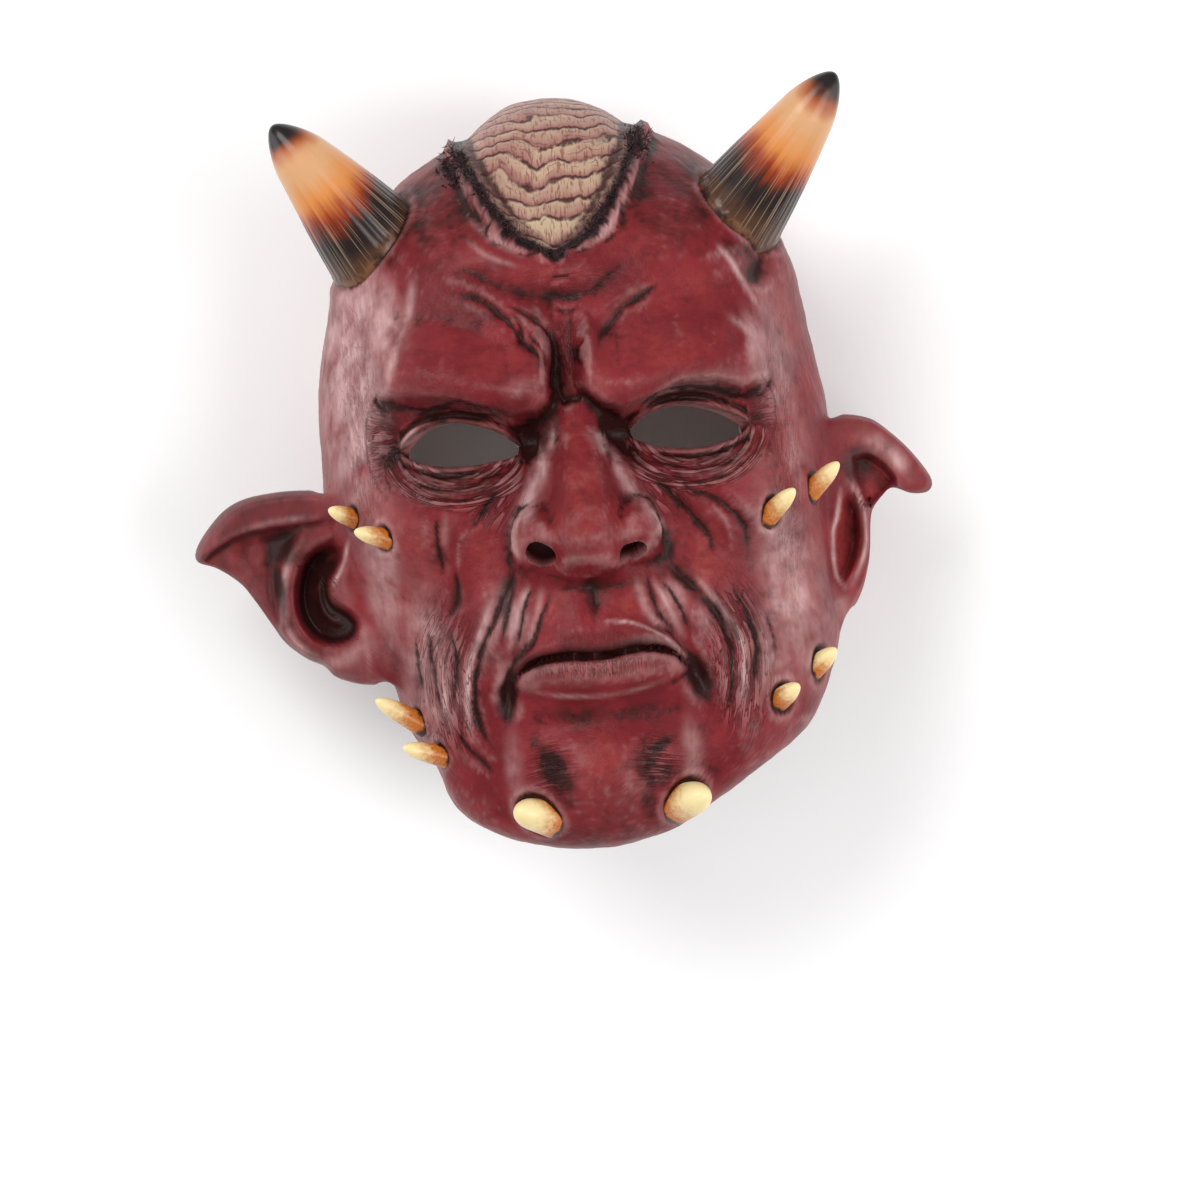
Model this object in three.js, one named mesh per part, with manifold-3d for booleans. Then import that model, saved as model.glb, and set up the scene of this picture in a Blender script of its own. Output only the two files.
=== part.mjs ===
// A devil mask of cast latex: one thin hollow shell that holds the face, the bare skull crest and both ears,
// with two separately cast horns and ten small bone spikes glued on.
// Units are millimetres. The mask lies on its open back, so +Z points out of the face, +Y to the crown,
// and +X to the wearer's left. The work is done in a face frame whose origin is between the eyes, and the
// finished group is moved so that its own origin is in the middle of the footprint, on the table.
import * as THREE from "three";
import Module from "manifold-3d";

// Driving dimensions, in millimetres
const HALF_WIDTH = 86; // of the head at the ears
const CROWN = 108; // from the eye line up to the top of the red skin
const CHIN = 135; // from the eye line down to the lowest point of the chin
const FACE_FRONT = 13; // forehead plane in front of the eye plane
const SIDE_DEPTH = -66; // where the head is widest, behind the eye plane
const RIM_DEPTH = -112; // the back rim, which lies on the table
const WALL = 3; // thickness of the latex
const GLUE_GAP = 0.3; // between a glued piece and the skin
const FOOTPRINT = { x: -5.9, y: -7.5 }; // middle of the whole outline, seen from between the eyes
const EYE = { x: 37.5, y: 1, halfLength: 20, upper: 7.5, lower: 6.5, spread: 26 };
const CREST = { tip: 62, top: 99, halfWidth: 29, lift: 10 }; // bare skull above the brow
const RAYS = 60; // around the face
const RINGS = 27; // from the eyes to the rim

// Horns, as a centre line that starts inside the head and runs through a middle point to the tip
const HORN = { tipRadius: 6, swell: 1.4, rings: 9, sides: 16 };
const HORNS = {
  horn_right: { path: [[-49.5, 55, -34], [-75, 90, -14], [-91, 111, -4]], startRadius: 20.5 },
  horn_left: { path: [[47, 57.5, -31], [77, 92, -10], [94.5, 113, 2]], startRadius: 18.6 },
};

// Spikes, as the place of the foot on the face, the way from there to the tip, and the radius at the foot
const SPIKE = { rootLength: 6, rootShare: 1.12, tipShare: 0.72, rings: 4, sides: 8 };
const SPIKES = {
  cheek_spike_right_inner: { foot: [-65, -27], reach: [-9, 2.8, 5.7], radius: 3.5 },
  cheek_spike_right_outer: { foot: [-75, -19.5], reach: [-7.6, 3.4, 4.3], radius: 3.4 },
  cheek_spike_left_inner: { foot: [62, -29], reach: [8, 7, 7], radius: 3.6 },
  cheek_spike_left_outer: { foot: [77, -22], reach: [9, 8, 5], radius: 3.6 },
  jaw_spike_right_upper: { foot: [-61, -87], reach: [-11, 7.4, 6], radius: 3.6 },
  jaw_spike_right_lower: { foot: [-54, -99], reach: [-10, 3.2, 6], radius: 3.6 },
  jaw_spike_left_upper: { foot: [71, -82], reach: [9, 7, 6], radius: 4 },
  jaw_spike_left_lower: { foot: [59.5, -90.5], reach: [6.8, 4.8, 8], radius: 3.9 },
  chin_spike_right: { foot: [-21, -121.5], reach: [-7.5, 2.5, 9], radius: 6 },
  chin_spike_left: { foot: [26.5, -120.5], reach: [7, 2, 10.5], radius: 6.4 },
};

// Breathing holes, through the underside of the nose
const NOSTRILS = [
  { mouth: [-14, -37.5, 50], end: [-13, -32, 14], radius: 4 },
  { mouth: [15, -38, 50], end: [14, -32, 14], radius: 3.6 },
];

// Ears, as outlines seen from the front, from the top of the root round the tip to the lobe and back.
// Each leans back by its own slope, because the right one stands open and the left one is pressed back.
const EARS = {
  right: {
    outline: [
      [-66, -10], [-76, -10], [-90, -8.6], [-100, -8.2], [-111.5, -9.2], [-119, -12], [-125, -17],
      [-130.5, -24], [-131, -29], [-124, -32], [-116.5, -37.5], [-112, -43.4], [-106, -53], [-102, -59],
      [-95.3, -64.6], [-89.5, -67.5], [-85.6, -71.5], [-78, -74.2], [-70, -74.6], [-62, -72.5], [-56, -64],
      [-60, -42],
    ],
    centre: [-91, -34],
    rootX: -74,
    rootDepth: -18,
    slope: 0.68,
    bowl: [-86, -44, 9, 15],
  },
  left: {
    outline: [
      [68, -6], [84, 2], [98, 1.2], [107, -5], [114.5, -13], [119.5, -21], [118, -25], [112, -25.3],
      [105.5, -23], [101.5, -25.5], [97.5, -30.5], [96, -38], [94.8, -48], [90, -60], [80, -71],
      [68, -68], [62, -32],
    ],
    centre: [98, -15],
    rootX: 76,
    rootDepth: -22,
    slope: 0.9,
    bowl: [85, -37, 6, 15],
  },
};
const EAR = { sides: 30, rings: 7, thickness: 7, helix: 3.5, bowlDepth: 9 };

const colours = {
  skin: { color: 0x7d2430, roughness: 0.5 },
  horn: { color: 0xc87830, roughness: 0.25 },
  spike: { color: 0xe8cc80, roughness: 0.3 },
};
const material = (kind) => new THREE.MeshStandardMaterial({ ...colours[kind], metalness: 0 });

const wasm = await Module();
wasm.setup();

const clamp = (v, low = 0, high = 1) => Math.min(high, Math.max(low, v));
const ease = (from, to, v) => {
  const t = clamp((v - from) / (to - from));
  return t * t * (3 - 2 * t);
};
const mix = (a, b, t) => a + (b - a) * t;
const degrees = (d) => (d * Math.PI) / 180;

// A smooth mound of height 1 at (cx, cy), with half widths along and across its turned axis
function mound(x, y, cx, cy, along, across, turn = 0) {
  const c = Math.cos(degrees(turn));
  const s = Math.sin(degrees(turn));
  const u = ((x - cx) * c + (y - cy) * s) / along;
  const v = (-(x - cx) * s + (y - cy) * c) / across;
  return Math.exp(-u * u - v * v);
}

// A groove of depth 1 along a stroke through a few points, which runs out at both ends
function groove(x, y, points, width) {
  let nearest = Infinity;
  let along = 0;
  for (let i = 0; i + 1 < points.length; i++) {
    const [ax, ay] = points[i];
    const dx = points[i + 1][0] - ax;
    const dy = points[i + 1][1] - ay;
    const t = clamp(((x - ax) * dx + (y - ay) * dy) / (dx * dx + dy * dy));
    const distance = Math.hypot(x - ax - t * dx, y - ay - t * dy);
    if (distance < nearest) {
      nearest = distance;
      along = (i + t) / (points.length - 1);
    }
  }
  return Math.exp(-((nearest / width) ** 2)) * Math.sin(Math.PI * clamp(along, 0.08, 0.92));
}

// Plain head

// Outline of the head seen from the front: two half superellipses that meet at the eye line
function outline(angle) {
  const c = Math.abs(Math.cos(angle)) / HALF_WIDTH;
  const s = Math.abs(Math.sin(angle));
  const up = Math.sin(angle) > 0;
  const power = up ? 2.3 : 2.22;
  return (c ** power + (s / (up ? CROWN : CHIN)) ** power) ** (-1 / power);
}

// In each direction from the eyes: depth of the widest place and of the trimmed edge, how far the edge
// tucks in under the widest place, and how square the section is
function section(angle) {
  const down = Math.max(0, -Math.sin(angle));
  const side = Math.cos(angle) ** 2;
  return {
    radius: outline(angle),
    widest: mix(SIDE_DEPTH, -12, ease(0.5, 1, down)),
    edge: mix(RIM_DEPTH, -38, ease(0.62, 0.99, down)),
    tuck: mix(0.05, 0.1, ease(0.6, 1, down)),
    power: mix(down > 0 ? 3.6 : 2.6, 3.1, side),
  };
}

// Depth of the plain head in front of the widest place
function headDepth(x, y) {
  const { radius, widest, power } = section(Math.atan2(y, x));
  const share = Math.min(0.9999, Math.hypot(x, y) / radius);
  return widest + (FACE_FRONT - widest) * (1 - share ** power) ** (1 / power);
}

// Profile from the eyes outwards to the trimmed edge, as radius and depth. The steps are even along the
// surface in front, and longer on the plain sides of the head.
function profile(angle) {
  const { radius, widest, edge, tuck, power } = section(angle);
  const points = [];
  const frontSteps = 160;
  const skirtSteps = 40;
  for (let i = 0; i <= frontSteps; i++) {
    const t = ((i / frontSteps) * Math.PI) / 2;
    const depth = widest + (FACE_FRONT - widest) * Math.cos(t) ** (2 / power);
    points.push([radius * Math.sin(t) ** (2 / power), depth]);
  }
  for (let i = 1; i <= skirtSteps; i++) {
    const s = i / skirtSteps;
    points.push([radius * (1 - tuck * s * s), mix(widest, edge, s)]);
  }
  const lengths = [0];
  for (let i = 1; i < points.length; i++) {
    const step = Math.hypot(points[i][0] - points[i - 1][0], points[i][1] - points[i - 1][1]);
    lengths.push(lengths[i - 1] + step * mix(0.35, 1, ease(-60, -20, points[i][1])));
  }
  const total = lengths[lengths.length - 1];
  const steps = [];
  let at = 0;
  for (let ring = 0; ring <= RINGS; ring++) {
    const wanted = (ring / RINGS) * total;
    while (at < lengths.length - 2 && lengths[at + 1] < wanted) at++;
    const t = (wanted - lengths[at]) / (lengths[at + 1] - lengths[at]);
    steps.push({
      radius: mix(points[at][0], points[at + 1][0], t),
      depth: mix(points[at][1], points[at + 1][1], t),
      front: at < frontSteps,
    });
  }
  return steps;
}

// Sculpted forms, in millimetres forward of the plain head

function noseHeight(x, y) {
  const ridge = ease(16, -20, y) * ease(-49, -38, y);
  const halfWidth = mix(7, 13, ease(6, -26, y));
  let height = 19 * ridge * Math.exp(-(Math.abs((x - 1.5) / halfWidth) ** 2.6));
  height += 6 * mound(x, y, 1.5, -29, 13, 9);
  for (const side of [-1, 1]) {
    height += 10.5 * mound(x, y, 1.7 + side * 17.2, -32, 8, 8.6) * ease(-48, -38, y);
    height -= 2 * groove(x, y, [[side * 15, -20], [side * 25, -22], [side * 28, -32], [side * 25, -42]], 4);
  }
  return height;
}

function mouthHeight(x, y) {
  const cx = x - 2;
  const line = -69.5 - (Math.abs(cx) / 30) ** 3 * 5;
  const lips = ease(33, 24, Math.abs(cx));
  let height = 7 * mound(x, y, 2, -66, 33, 26);
  height += 4.5 * lips * Math.exp(-(((y - line - 6) / 5) ** 2));
  height += 6 * lips * Math.exp(-(((y - line + 7) / 5.5) ** 2));
  height -= 2.5 * lips * Math.exp(-(((y - line) / 4) ** 2));
  for (const side of [-1, 1]) height -= 4 * mound(x, y, 2 + side * 31, -80, 4, 7);
  return height;
}

function browHeight(x, y) {
  let height = 0;
  for (const side of [-1, 1]) {
    height += 10 * mound(x, y, side * 34, 22, 27, 9, side * 4);
    height += 6 * mound(x, y, side * 17, 17, 9, 8, side * 20);
    height -= 9 * mound(x, y, side * 38, 1, 23, 9);
    height -= 6 * mound(x, y, side * 17, 0, 7, 9);
    height += 3.5 * mound(x, y, side * 38, 6, 20, 3.5);
    height += 3.5 * mound(x, y, side * 38, -7, 19, 4);
  }
  height -= 6 * groove(x, y, [[-4, 38], [-3, 26], [-1, 14], [0, 8]], 4);
  height -= 3 * groove(x, y, [[-36, 62], [-20, 51], [0, 46], [20, 52], [36, 62]], 5);
  return height;
}

function cheekHeight(x, y) {
  let height = 0;
  for (const side of [-1, 1]) {
    height += 7 * mound(x, y, side * 52, -24, 18, 15, side * -20);
    height -= 4 * groove(x, y, [[side * 25, -36], [side * 31, -54], [side * 39, -70], [side * 38, -96]], 4);
    height -= 4 * mound(x, y, side * 55, -62, 14, 20);
    height += 4 * mound(x, y, side * 47, -84, 9, 22);
  }
  return height;
}

function chinHeight(x, y) {
  let height = 9 * mound(x, y, 2, -114, 27, 17);
  height -= 3 * mound(x, y, 2, -92, 26, 6);
  for (const side of [-1, 1]) height -= 2.5 * mound(x, y, 1 + side * 17, -105, 6, 8);
  return height;
}

const sculpted = (x, y) =>
  noseHeight(x, y) + mouthHeight(x, y) + browHeight(x, y) + cheekHeight(x, y) + chinHeight(x, y);

// The bare skull is a dome that stands out of the crown, with a thick torn edge of skin round it
function crestHeight(x, y) {
  const half = CREST.halfWidth * ease(CREST.tip - 8, CREST.top, y) ** 0.8;
  if (half < 2) return 0;
  const dome = CREST.lift * (1 - clamp(Math.abs(x) / half) ** 2) * ease(CREST.tip, CREST.top + 4, y);
  const fromEdge = (Math.abs(x) - half - 3) / 4;
  return dome + 2.5 * Math.exp(-fromEdge * fromEdge) * ease(CREST.tip - 10, CREST.tip + 6, y);
}

// The soft lower face hangs a little to one side, and the chin to the other
const lean = (y) => 4 * ease(-25, -80, y) - 6 * ease(-96, -124, y);

// Depth of the skin at a place on the front of the finished face
function skinDepth(x, y) {
  const z = headDepth(x - lean(y), y - EYE.y);
  return z + sculpted(x, y) * ease(-60, -5, z);
}

// One point of the outer skin. On the eye line the lid says which side of the slit the point is on:
// the slit opens into the almond of the eye hole, and the skin round it moves aside.
function skinPoint(angle, step, lid) {
  const x = step.radius * Math.cos(angle);
  let y = EYE.y + step.radius * Math.sin(angle);
  let z = step.depth;
  if (lid && step.front) {
    const s = (Math.abs(x) - EYE.x) / EYE.halfLength;
    const away = Math.abs(y - EYE.y);
    if (Math.abs(s) < 1 && away < EYE.spread) {
      const side = away < 0.001 ? lid : Math.sign(y - EYE.y);
      const lidHeight = (side > 0 ? EYE.upper : EYE.lower) * (1 - s * s) ** 0.75;
      y = EYE.y + side * (lidHeight + away * (1 - lidHeight / EYE.spread));
      z = headDepth(x, y - EYE.y);
    }
  }
  const facing = ease(-60, -5, z);
  const outward = new THREE.Vector3(x / HALF_WIDTH, y / CROWN, 0.35 * facing + 0.02).normalize();
  const hollowTemple = 2.5 * ease(50, 76, x) * Math.exp(-(((y - 30) / 18) ** 2));
  const placed = x + lean(y) - hollowTemple;
  const point = new THREE.Vector3(placed, y, z + sculpted(placed, y) * facing);
  return point.addScaledVector(outward, crestHeight(x, y));
}

// Meshes

class Surface {
  points = [];
  faces = [];
  add(point) {
    this.points.push(point);
    return this.points.length - 1;
  }
  quad(a, b, c, d, flip = false) {
    for (const [p, q, r] of [[a, b, c], [a, c, d]]) {
      if (p === q || q === r || r === p) continue;
      this.faces.push(flip ? [p, r, q] : [p, q, r]);
    }
  }
  // The same, cut along the diagonal whose ends are closer in depth, so that ridges stay whole
  levelQuad(a, b, c, d, flip) {
    const rise = (p, q) => Math.abs(this.points[p].z - this.points[q].z);
    if (a === d || rise(a, c) <= rise(b, d)) this.quad(a, b, c, d, flip);
    else this.quad(b, c, d, a, flip);
  }
  // Joins two rings of vertices, of which either may be a single repeated vertex
  band(ring, next) {
    const after = (list, i) => list[(i + 1) % list.length];
    ring.forEach((a, i) => this.quad(a, next[i], after(next, i), after(ring, i)));
  }
  solid() {
    const vertProperties = new Float32Array(this.points.flatMap((p) => p.toArray()));
    const triVerts = new Uint32Array(this.faces.flat());
    return new wasm.Manifold(new wasm.Mesh({ numProp: 3, vertProperties, triVerts }));
  }
}

// Lays one face of the head, and returns vertex numbers as at(ray, ring, below the eye line?).
// With slits, the eye line holds a second row of points between the corners of each eye.
// Rays are closer together over the crown, and closest over the nose, mouth and chin.
function rayAngle(k) {
  const turn = (k % RAYS) / RAYS;
  const v = (2 * turn) % 1;
  const crowding = turn < 0.5 ? 0.25 : 0.45;
  return Math.PI * ((turn < 0.5 ? 0 : 1) + v + (crowding * Math.sin(2 * Math.PI * v)) / (2 * Math.PI));
}

const isSlit = (k, step) =>
  (k === 0 || k === RAYS / 2) && Math.abs(step.radius - EYE.x) < EYE.halfLength - 0.01;

function layHead(surface, pointAt, flip, slits) {
  const rows = [];
  const lower = new Map();
  for (let k = 0; k < RAYS; k++) {
    const steps = profile(rayAngle(k));
    rows.push(steps.map((step, i) => (i === 0 && k > 0 ? rows[0][0] : surface.add(pointAt(k, i, false)))));
    steps.forEach((step, i) => {
      if (slits && isSlit(k, step)) lower.set(`${k},${i}`, surface.add(pointAt(k, i, true)));
    });
  }
  const at = (k, i, below) => {
    const ray = k % RAYS;
    return (below && lower.get(`${ray},${i}`)) || rows[ray][i];
  };
  for (let k = 0; k < RAYS; k++) {
    const below = k >= RAYS / 2;
    for (let i = 0; i < RINGS; i++) {
      const [a, b] = [at(k, i, below), at(k, i + 1, below)];
      const [c, d] = [at(k + 1, i + 1, below), at(k + 1, i, below)];
      surface.levelQuad(a, b, c, d, flip);
    }
  }
  return at;
}

const outerPoint = (slits) => (k, i, below) =>
  skinPoint(rayAngle(k), profile(rayAngle(k))[i], slits ? (below ? -1 : 1) : 0);

// Points a set distance along the normals of the outer skin; the last ring stays in the plane of the edge
function offsetPoint(slits, distance) {
  const surface = new Surface();
  const at = layHead(surface, outerPoint(slits), false, slits);
  const normals = surface.points.map(() => new THREE.Vector3());
  for (const [a, b, c] of surface.faces) {
    const [p, q, r] = [a, b, c].map((v) => surface.points[v]);
    const face = new THREE.Vector3().subVectors(q, p).cross(new THREE.Vector3().subVectors(r, p));
    for (const v of [a, b, c]) normals[v].add(face);
  }
  return (k, i, below) => {
    const number = at(k, i, below);
    const point = surface.points[number].clone();
    const normal = normals[number].clone();
    if (i === RINGS) normal.z = 0;
    return point.addScaledVector(normal.normalize(), distance);
  };
}

// The hollow shell: outer skin, inner face, trimmed edge and the edges of the eye holes
function headShell() {
  const surface = new Surface();
  const outer = layHead(surface, outerPoint(true), false, true);
  const inner = layHead(surface, offsetPoint(true, -WALL), true, true);
  for (let k = 0; k < RAYS; k++) {
    surface.quad(outer(k, RINGS), inner(k, RINGS), inner(k + 1, RINGS), outer(k + 1, RINGS));
  }
  for (const k of [0, RAYS / 2]) {
    for (let i = 0; i < RINGS; i++) {
      const opens = [i, i + 1].some((j) => outer(k, j, true) !== outer(k, j, false));
      if (!opens) continue;
      for (const below of [false, true]) {
        const [a, b] = [outer(k, i, below), outer(k, i + 1, below)];
        const [c, d] = [inner(k, i, below), inner(k, i + 1, below)];
        surface.quad(a, c, d, b, (k === 0) === below);
      }
    }
  }
  return surface.solid();
}

// The head as a solid plug whose surface stands a set distance off the outer skin
function headPlug(distance) {
  const surface = new Surface();
  const skin = layHead(surface, offsetPoint(false, distance), false, false);
  const middle = surface.add(new THREE.Vector3(0, 0, RIM_DEPTH));
  for (let k = 0; k < RAYS; k++) surface.quad(skin(k + 1, RINGS), skin(k, RINGS), middle, middle);
  return surface.solid();
}

// A closed curve through an ear outline
function earCurve(ear) {
  const corners = ear.outline.map(([x, y]) => new THREE.Vector3(x, y, 0));
  return new THREE.CatmullRomCurve3(corners, true, "centripetal");
}

// Front of an ear: it slopes back from its root, with a rolled helix at the edge and a deep bowl
function earFront(ear, x, y, rho) {
  const outwards = Math.sign(x) * (x - ear.rootX);
  const slant = ear.rootDepth - ear.slope * Math.abs(outwards) * (outwards > 0 ? 1 : -0.3);
  const roll = (at) => Math.exp(-(((rho - at) / 0.12) ** 2));
  const [bx, by, bw, bh] = ear.bowl;
  return slant + EAR.helix * (roll(0.9) - roll(0.68)) - EAR.bowlDepth * mound(x, y, bx, by, bw, bh);
}

function earSolid(ear) {
  const surface = new Surface();
  const curve = earCurve(ear);
  const edge = curve.getSpacedPoints(EAR.sides).slice(0, EAR.sides);
  const [cx, cy] = ear.centre;
  const mirrored = cx < 0;
  const ringAt = (rho, place) => {
    return edge.map((p) => {
      const x = mix(cx, p.x, rho);
      const y = mix(cy, p.y, rho);
      return surface.add(new THREE.Vector3(x, y, place(x, y, rho)));
    });
  };
  const front = (x, y, rho) => earFront(ear, x, y, rho);
  const back = (x, y, rho) => earFront(ear, x, y, 0.5) - EAR.thickness * mix(1, 0.55, rho * rho);
  const rings = [];
  const centre = surface.add(new THREE.Vector3(cx, cy, front(cx, cy, 0)));
  rings.push(edge.map(() => centre));
  for (let i = 1; i <= EAR.rings; i++) {
    const rho = (i / EAR.rings) ** 0.85;
    rings.push(ringAt(rho * 0.97, front));
  }
  rings.push(ringAt(1, (x, y) => mix(front(x, y, 1), back(x, y, 1), 0.5)));
  for (const rho of [0.95, 0.6, 0.3]) rings.push(ringAt(rho, back));
  const last = surface.add(new THREE.Vector3(cx, cy, back(cx, cy, 0)));
  rings.push(edge.map(() => last));
  for (let i = 0; i + 1 < rings.length; i++) {
    const [a, b] = mirrored ? [rings[i], rings[i + 1]] : [rings[i].toReversed(), rings[i + 1].toReversed()];
    surface.band(a, b);
  }
  return surface.solid();
}

// A tapering round body along a curve through three points, with a rounded tip
function tapered(path, radiusAt, rings, sides) {
  const curve = new THREE.CatmullRomCurve3(path.map((p) => new THREE.Vector3(...p)));
  const surface = new Surface();
  const frames = curve.computeFrenetFrames(rings, false);
  const start = surface.add(curve.getPointAt(0));
  const laid = [Array(sides).fill(start)];
  for (let i = 0; i < rings; i++) {
    const t = Math.sin(((i / rings) * Math.PI) / 2);
    const centre = curve.getPointAt(t);
    const near = Math.round(t * rings);
    const [u, v] = [frames.normals[near], frames.binormals[near]];
    const ring = [];
    for (let k = 0; k < sides; k++) {
      const a = (k / sides) * 2 * Math.PI;
      const p = centre.clone().addScaledVector(u, radiusAt(t) * Math.cos(a));
      ring.push(surface.add(p.addScaledVector(v, radiusAt(t) * Math.sin(a))));
    }
    laid.push(ring);
  }
  const tip = surface.add(curve.getPointAt(1));
  laid.push(Array(sides).fill(tip));
  for (let i = 0; i + 1 < laid.length; i++) surface.band(laid[i].toReversed(), laid[i + 1].toReversed());
  return surface.solid();
}

// A radius that falls to a blunt, rounded end; with a swell over 1 the sides bulge
const bluntRadius = (base, tip, roundFrom, swell = 1) => (t) => {
  const body = mix(base, tip, t ** swell);
  const s = clamp((t - roundFrom) / (1 - roundFrom));
  return body * Math.sqrt(1 - s * s);
};

// Assembly

function toMesh(name, solid, kind) {
  const made = solid.getMesh();
  const geometry = new THREE.BufferGeometry();
  geometry.setAttribute("position", new THREE.Float32BufferAttribute(made.vertProperties, made.numProp));
  geometry.setIndex(new THREE.Uint32BufferAttribute(made.triVerts, 1));
  const mesh = new THREE.Mesh(geometry, material(kind));
  mesh.name = name;
  return mesh;
}

const group = new THREE.Group();
group.name = "devil_mask";

let shell = headShell();
const insideWall = headPlug(-WALL / 2);
for (const ear of Object.values(EARS)) shell = shell.add(earSolid(ear).subtract(insideWall));

for (const { mouth, end, radius } of NOSTRILS) {
  const middle = mouth.map((v, i) => (v + end[i]) / 2);
  shell = shell.subtract(tapered([mouth, middle, end], () => radius, 2, 10));
}
group.add(toMesh("mask_shell", shell, "skin"));

const clearOfSkin = headPlug(GLUE_GAP);
for (const [name, { path, startRadius }] of Object.entries(HORNS)) {
  const radius = bluntRadius(startRadius, HORN.tipRadius, 0.8, HORN.swell);
  group.add(toMesh(name, tapered(path, radius, HORN.rings, HORN.sides).subtract(clearOfSkin), "horn"));
}
for (const [name, { foot, reach, radius }] of Object.entries(SPIKES)) {
  const onSkin = new THREE.Vector3(...foot, skinDepth(...foot));
  const way = new THREE.Vector3(...reach);
  const root = onSkin.clone().addScaledVector(way.clone().normalize(), -SPIKE.rootLength);
  const tip = onSkin.clone().add(way);
  const line = [root, root.clone().lerp(tip, 0.5), tip].map((p) => p.toArray());
  const radiusAt = bluntRadius(radius * SPIKE.rootShare, radius * SPIKE.tipShare, 0.7);
  const body = tapered(line, radiusAt, SPIKE.rings, SPIKE.sides);
  group.add(toMesh(name, body.subtract(clearOfSkin), "spike"));
}

group.position.set(-FOOTPRINT.x, -FOOTPRINT.y, -RIM_DEPTH);

export default group;
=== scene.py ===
# Looks of a devil mask of painted latex, which lies face up on a pale table.
# The mask is worked out in a face frame in millimetres, with its origin between the eyes, +X to the
# wearer's left, +Y to the crown and +Z out of the face. to_row() turns that into the metres of the packed
# model, and from_row() turns those back.
import math
from functools import partial
from itertools import product

import bmesh
import bpy
import numpy as np
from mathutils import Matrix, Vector, kdtree, noise
from mathutils.bvhtree import BVHTree


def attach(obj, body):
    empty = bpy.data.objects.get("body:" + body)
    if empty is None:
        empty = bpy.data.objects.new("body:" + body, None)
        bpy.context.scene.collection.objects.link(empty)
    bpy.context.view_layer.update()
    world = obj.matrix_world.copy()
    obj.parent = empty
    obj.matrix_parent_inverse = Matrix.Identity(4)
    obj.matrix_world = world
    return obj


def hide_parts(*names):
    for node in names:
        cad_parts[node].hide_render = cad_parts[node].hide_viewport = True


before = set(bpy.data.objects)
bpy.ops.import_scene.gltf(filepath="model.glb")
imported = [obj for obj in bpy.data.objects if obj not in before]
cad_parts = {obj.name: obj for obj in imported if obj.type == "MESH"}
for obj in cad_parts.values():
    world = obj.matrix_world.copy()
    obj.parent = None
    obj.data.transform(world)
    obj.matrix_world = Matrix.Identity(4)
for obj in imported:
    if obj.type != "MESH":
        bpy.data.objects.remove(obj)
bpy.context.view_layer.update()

# Driving dimensions, in millimetres
HALF_WIDTH = 86  # of the head at the ears
CROWN = 108  # from the eye line up to the top of the red skin
CHIN = 135  # from the eye line down to the lowest point of the chin
FACE_FRONT = 13  # forehead plane in front of the eye plane
SIDE_DEPTH = -66  # where the head is widest
RIM_DEPTH = -112  # the back rim, which lies on the table
WALL = 3  # thickness of the latex
FOOTPRINT = (-5.9, -7.5)  # middle of the whole outline
EYE_X, EYE_Y = 37.5, 1.0  # middle of an eye hole, across and up
EYE_HALF, EYE_SPREAD = 20.0, 26.0  # its half width, and how far up and down the skin makes room for it
RAYS_UP, RAYS_DOWN, RINGS = 180, 250, 175  # fine grid of the outer skin, above and below the eye line
RAYS = RAYS_UP + RAYS_DOWN
COARSE = 5  # the lining takes every fifth ray and ring
COARSE_RAYS, COARSE_RINGS = RAYS // COARSE, RINGS // COARSE

# Other values with more than one use
ORIGIN = (*FOOTPRINT, RIM_DEPTH)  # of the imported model, in the face frame
FAR = 99.0  # a distance beyond the reach of every form
SKIN, LINING, EAR = 0, 1, 2  # material numbers while the skin is being built


def to_row(points):
    """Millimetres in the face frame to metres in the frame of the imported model."""
    return (np.asarray(points, float) - ORIGIN) / 1000


def from_row(points):
    return np.array(points) * 1000 + ORIGIN


def unit(vector):
    return vector / np.linalg.norm(vector)


def ease(start, end, value):
    """0 before the start, 1 past the end and a smooth change between them. The start may be the larger."""
    t = np.clip((value - start) / (end - start), 0, 1)
    return t * t * (3 - 2 * t)


def mix(a, b, t):
    return a + (b - a) * t


def bell(value, width):
    return np.exp(-((value / width) ** 2))


def mound(x, y, cx, cy, along, across, turn=0.0, power=1.0):
    """A smooth rise of height 1. A power over 1 gives it a flatter top and steeper sides."""
    c, s = math.cos(math.radians(turn)), math.sin(math.radians(turn))
    u = ((x - cx) * c + (y - cy) * s) / along
    v = (-(x - cx) * s + (y - cy) * c) / across
    return np.exp(-((u * u + v * v) ** power))


def smooth_path(points, steps=6):
    """A Catmull-Rom curve through a few points."""
    p = np.asarray(points, float)
    if len(p) < 3:
        return p
    p = np.vstack([2 * p[0] - p[1], p, 2 * p[-1] - p[-2]])
    out = []
    for a, b, c, d in zip(p, p[1:], p[2:], p[3:]):
        bend, twist = 2 * a - 5 * b + 4 * c - d, 3 * b - a - 3 * c + d
        for t in np.linspace(0, 1, steps, endpoint=False):
            out.append(0.5 * (2 * b + (c - a) * t + bend * t**2 + twist * t**3))
    return np.vstack([out, p[-2]])


def lengths(path):
    """Length of a path from its start to each of its points."""
    return np.concatenate([[0], np.cumsum(np.linalg.norm(np.diff(path, axis=0), axis=1))])


def near_path(x, y, path):
    """Distance of each point to a path, and how far along it the nearest place is, from 0 to 1."""
    a, b = path[:-1], path[1:]
    d = b - a
    t = ((x[:, None] - a[:, 0]) * d[:, 0] + (y[:, None] - a[:, 1]) * d[:, 1]) / (d**2).sum(1)
    t = np.clip(t, 0, 1)
    gap = np.hypot(x[:, None] - a[:, 0] - t * d[:, 0], y[:, None] - a[:, 1] - t * d[:, 1])
    nearest = gap.argmin(1)
    rows = np.arange(len(x))
    return gap[rows, nearest], (nearest + t[rows, nearest]) / len(d)


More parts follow.
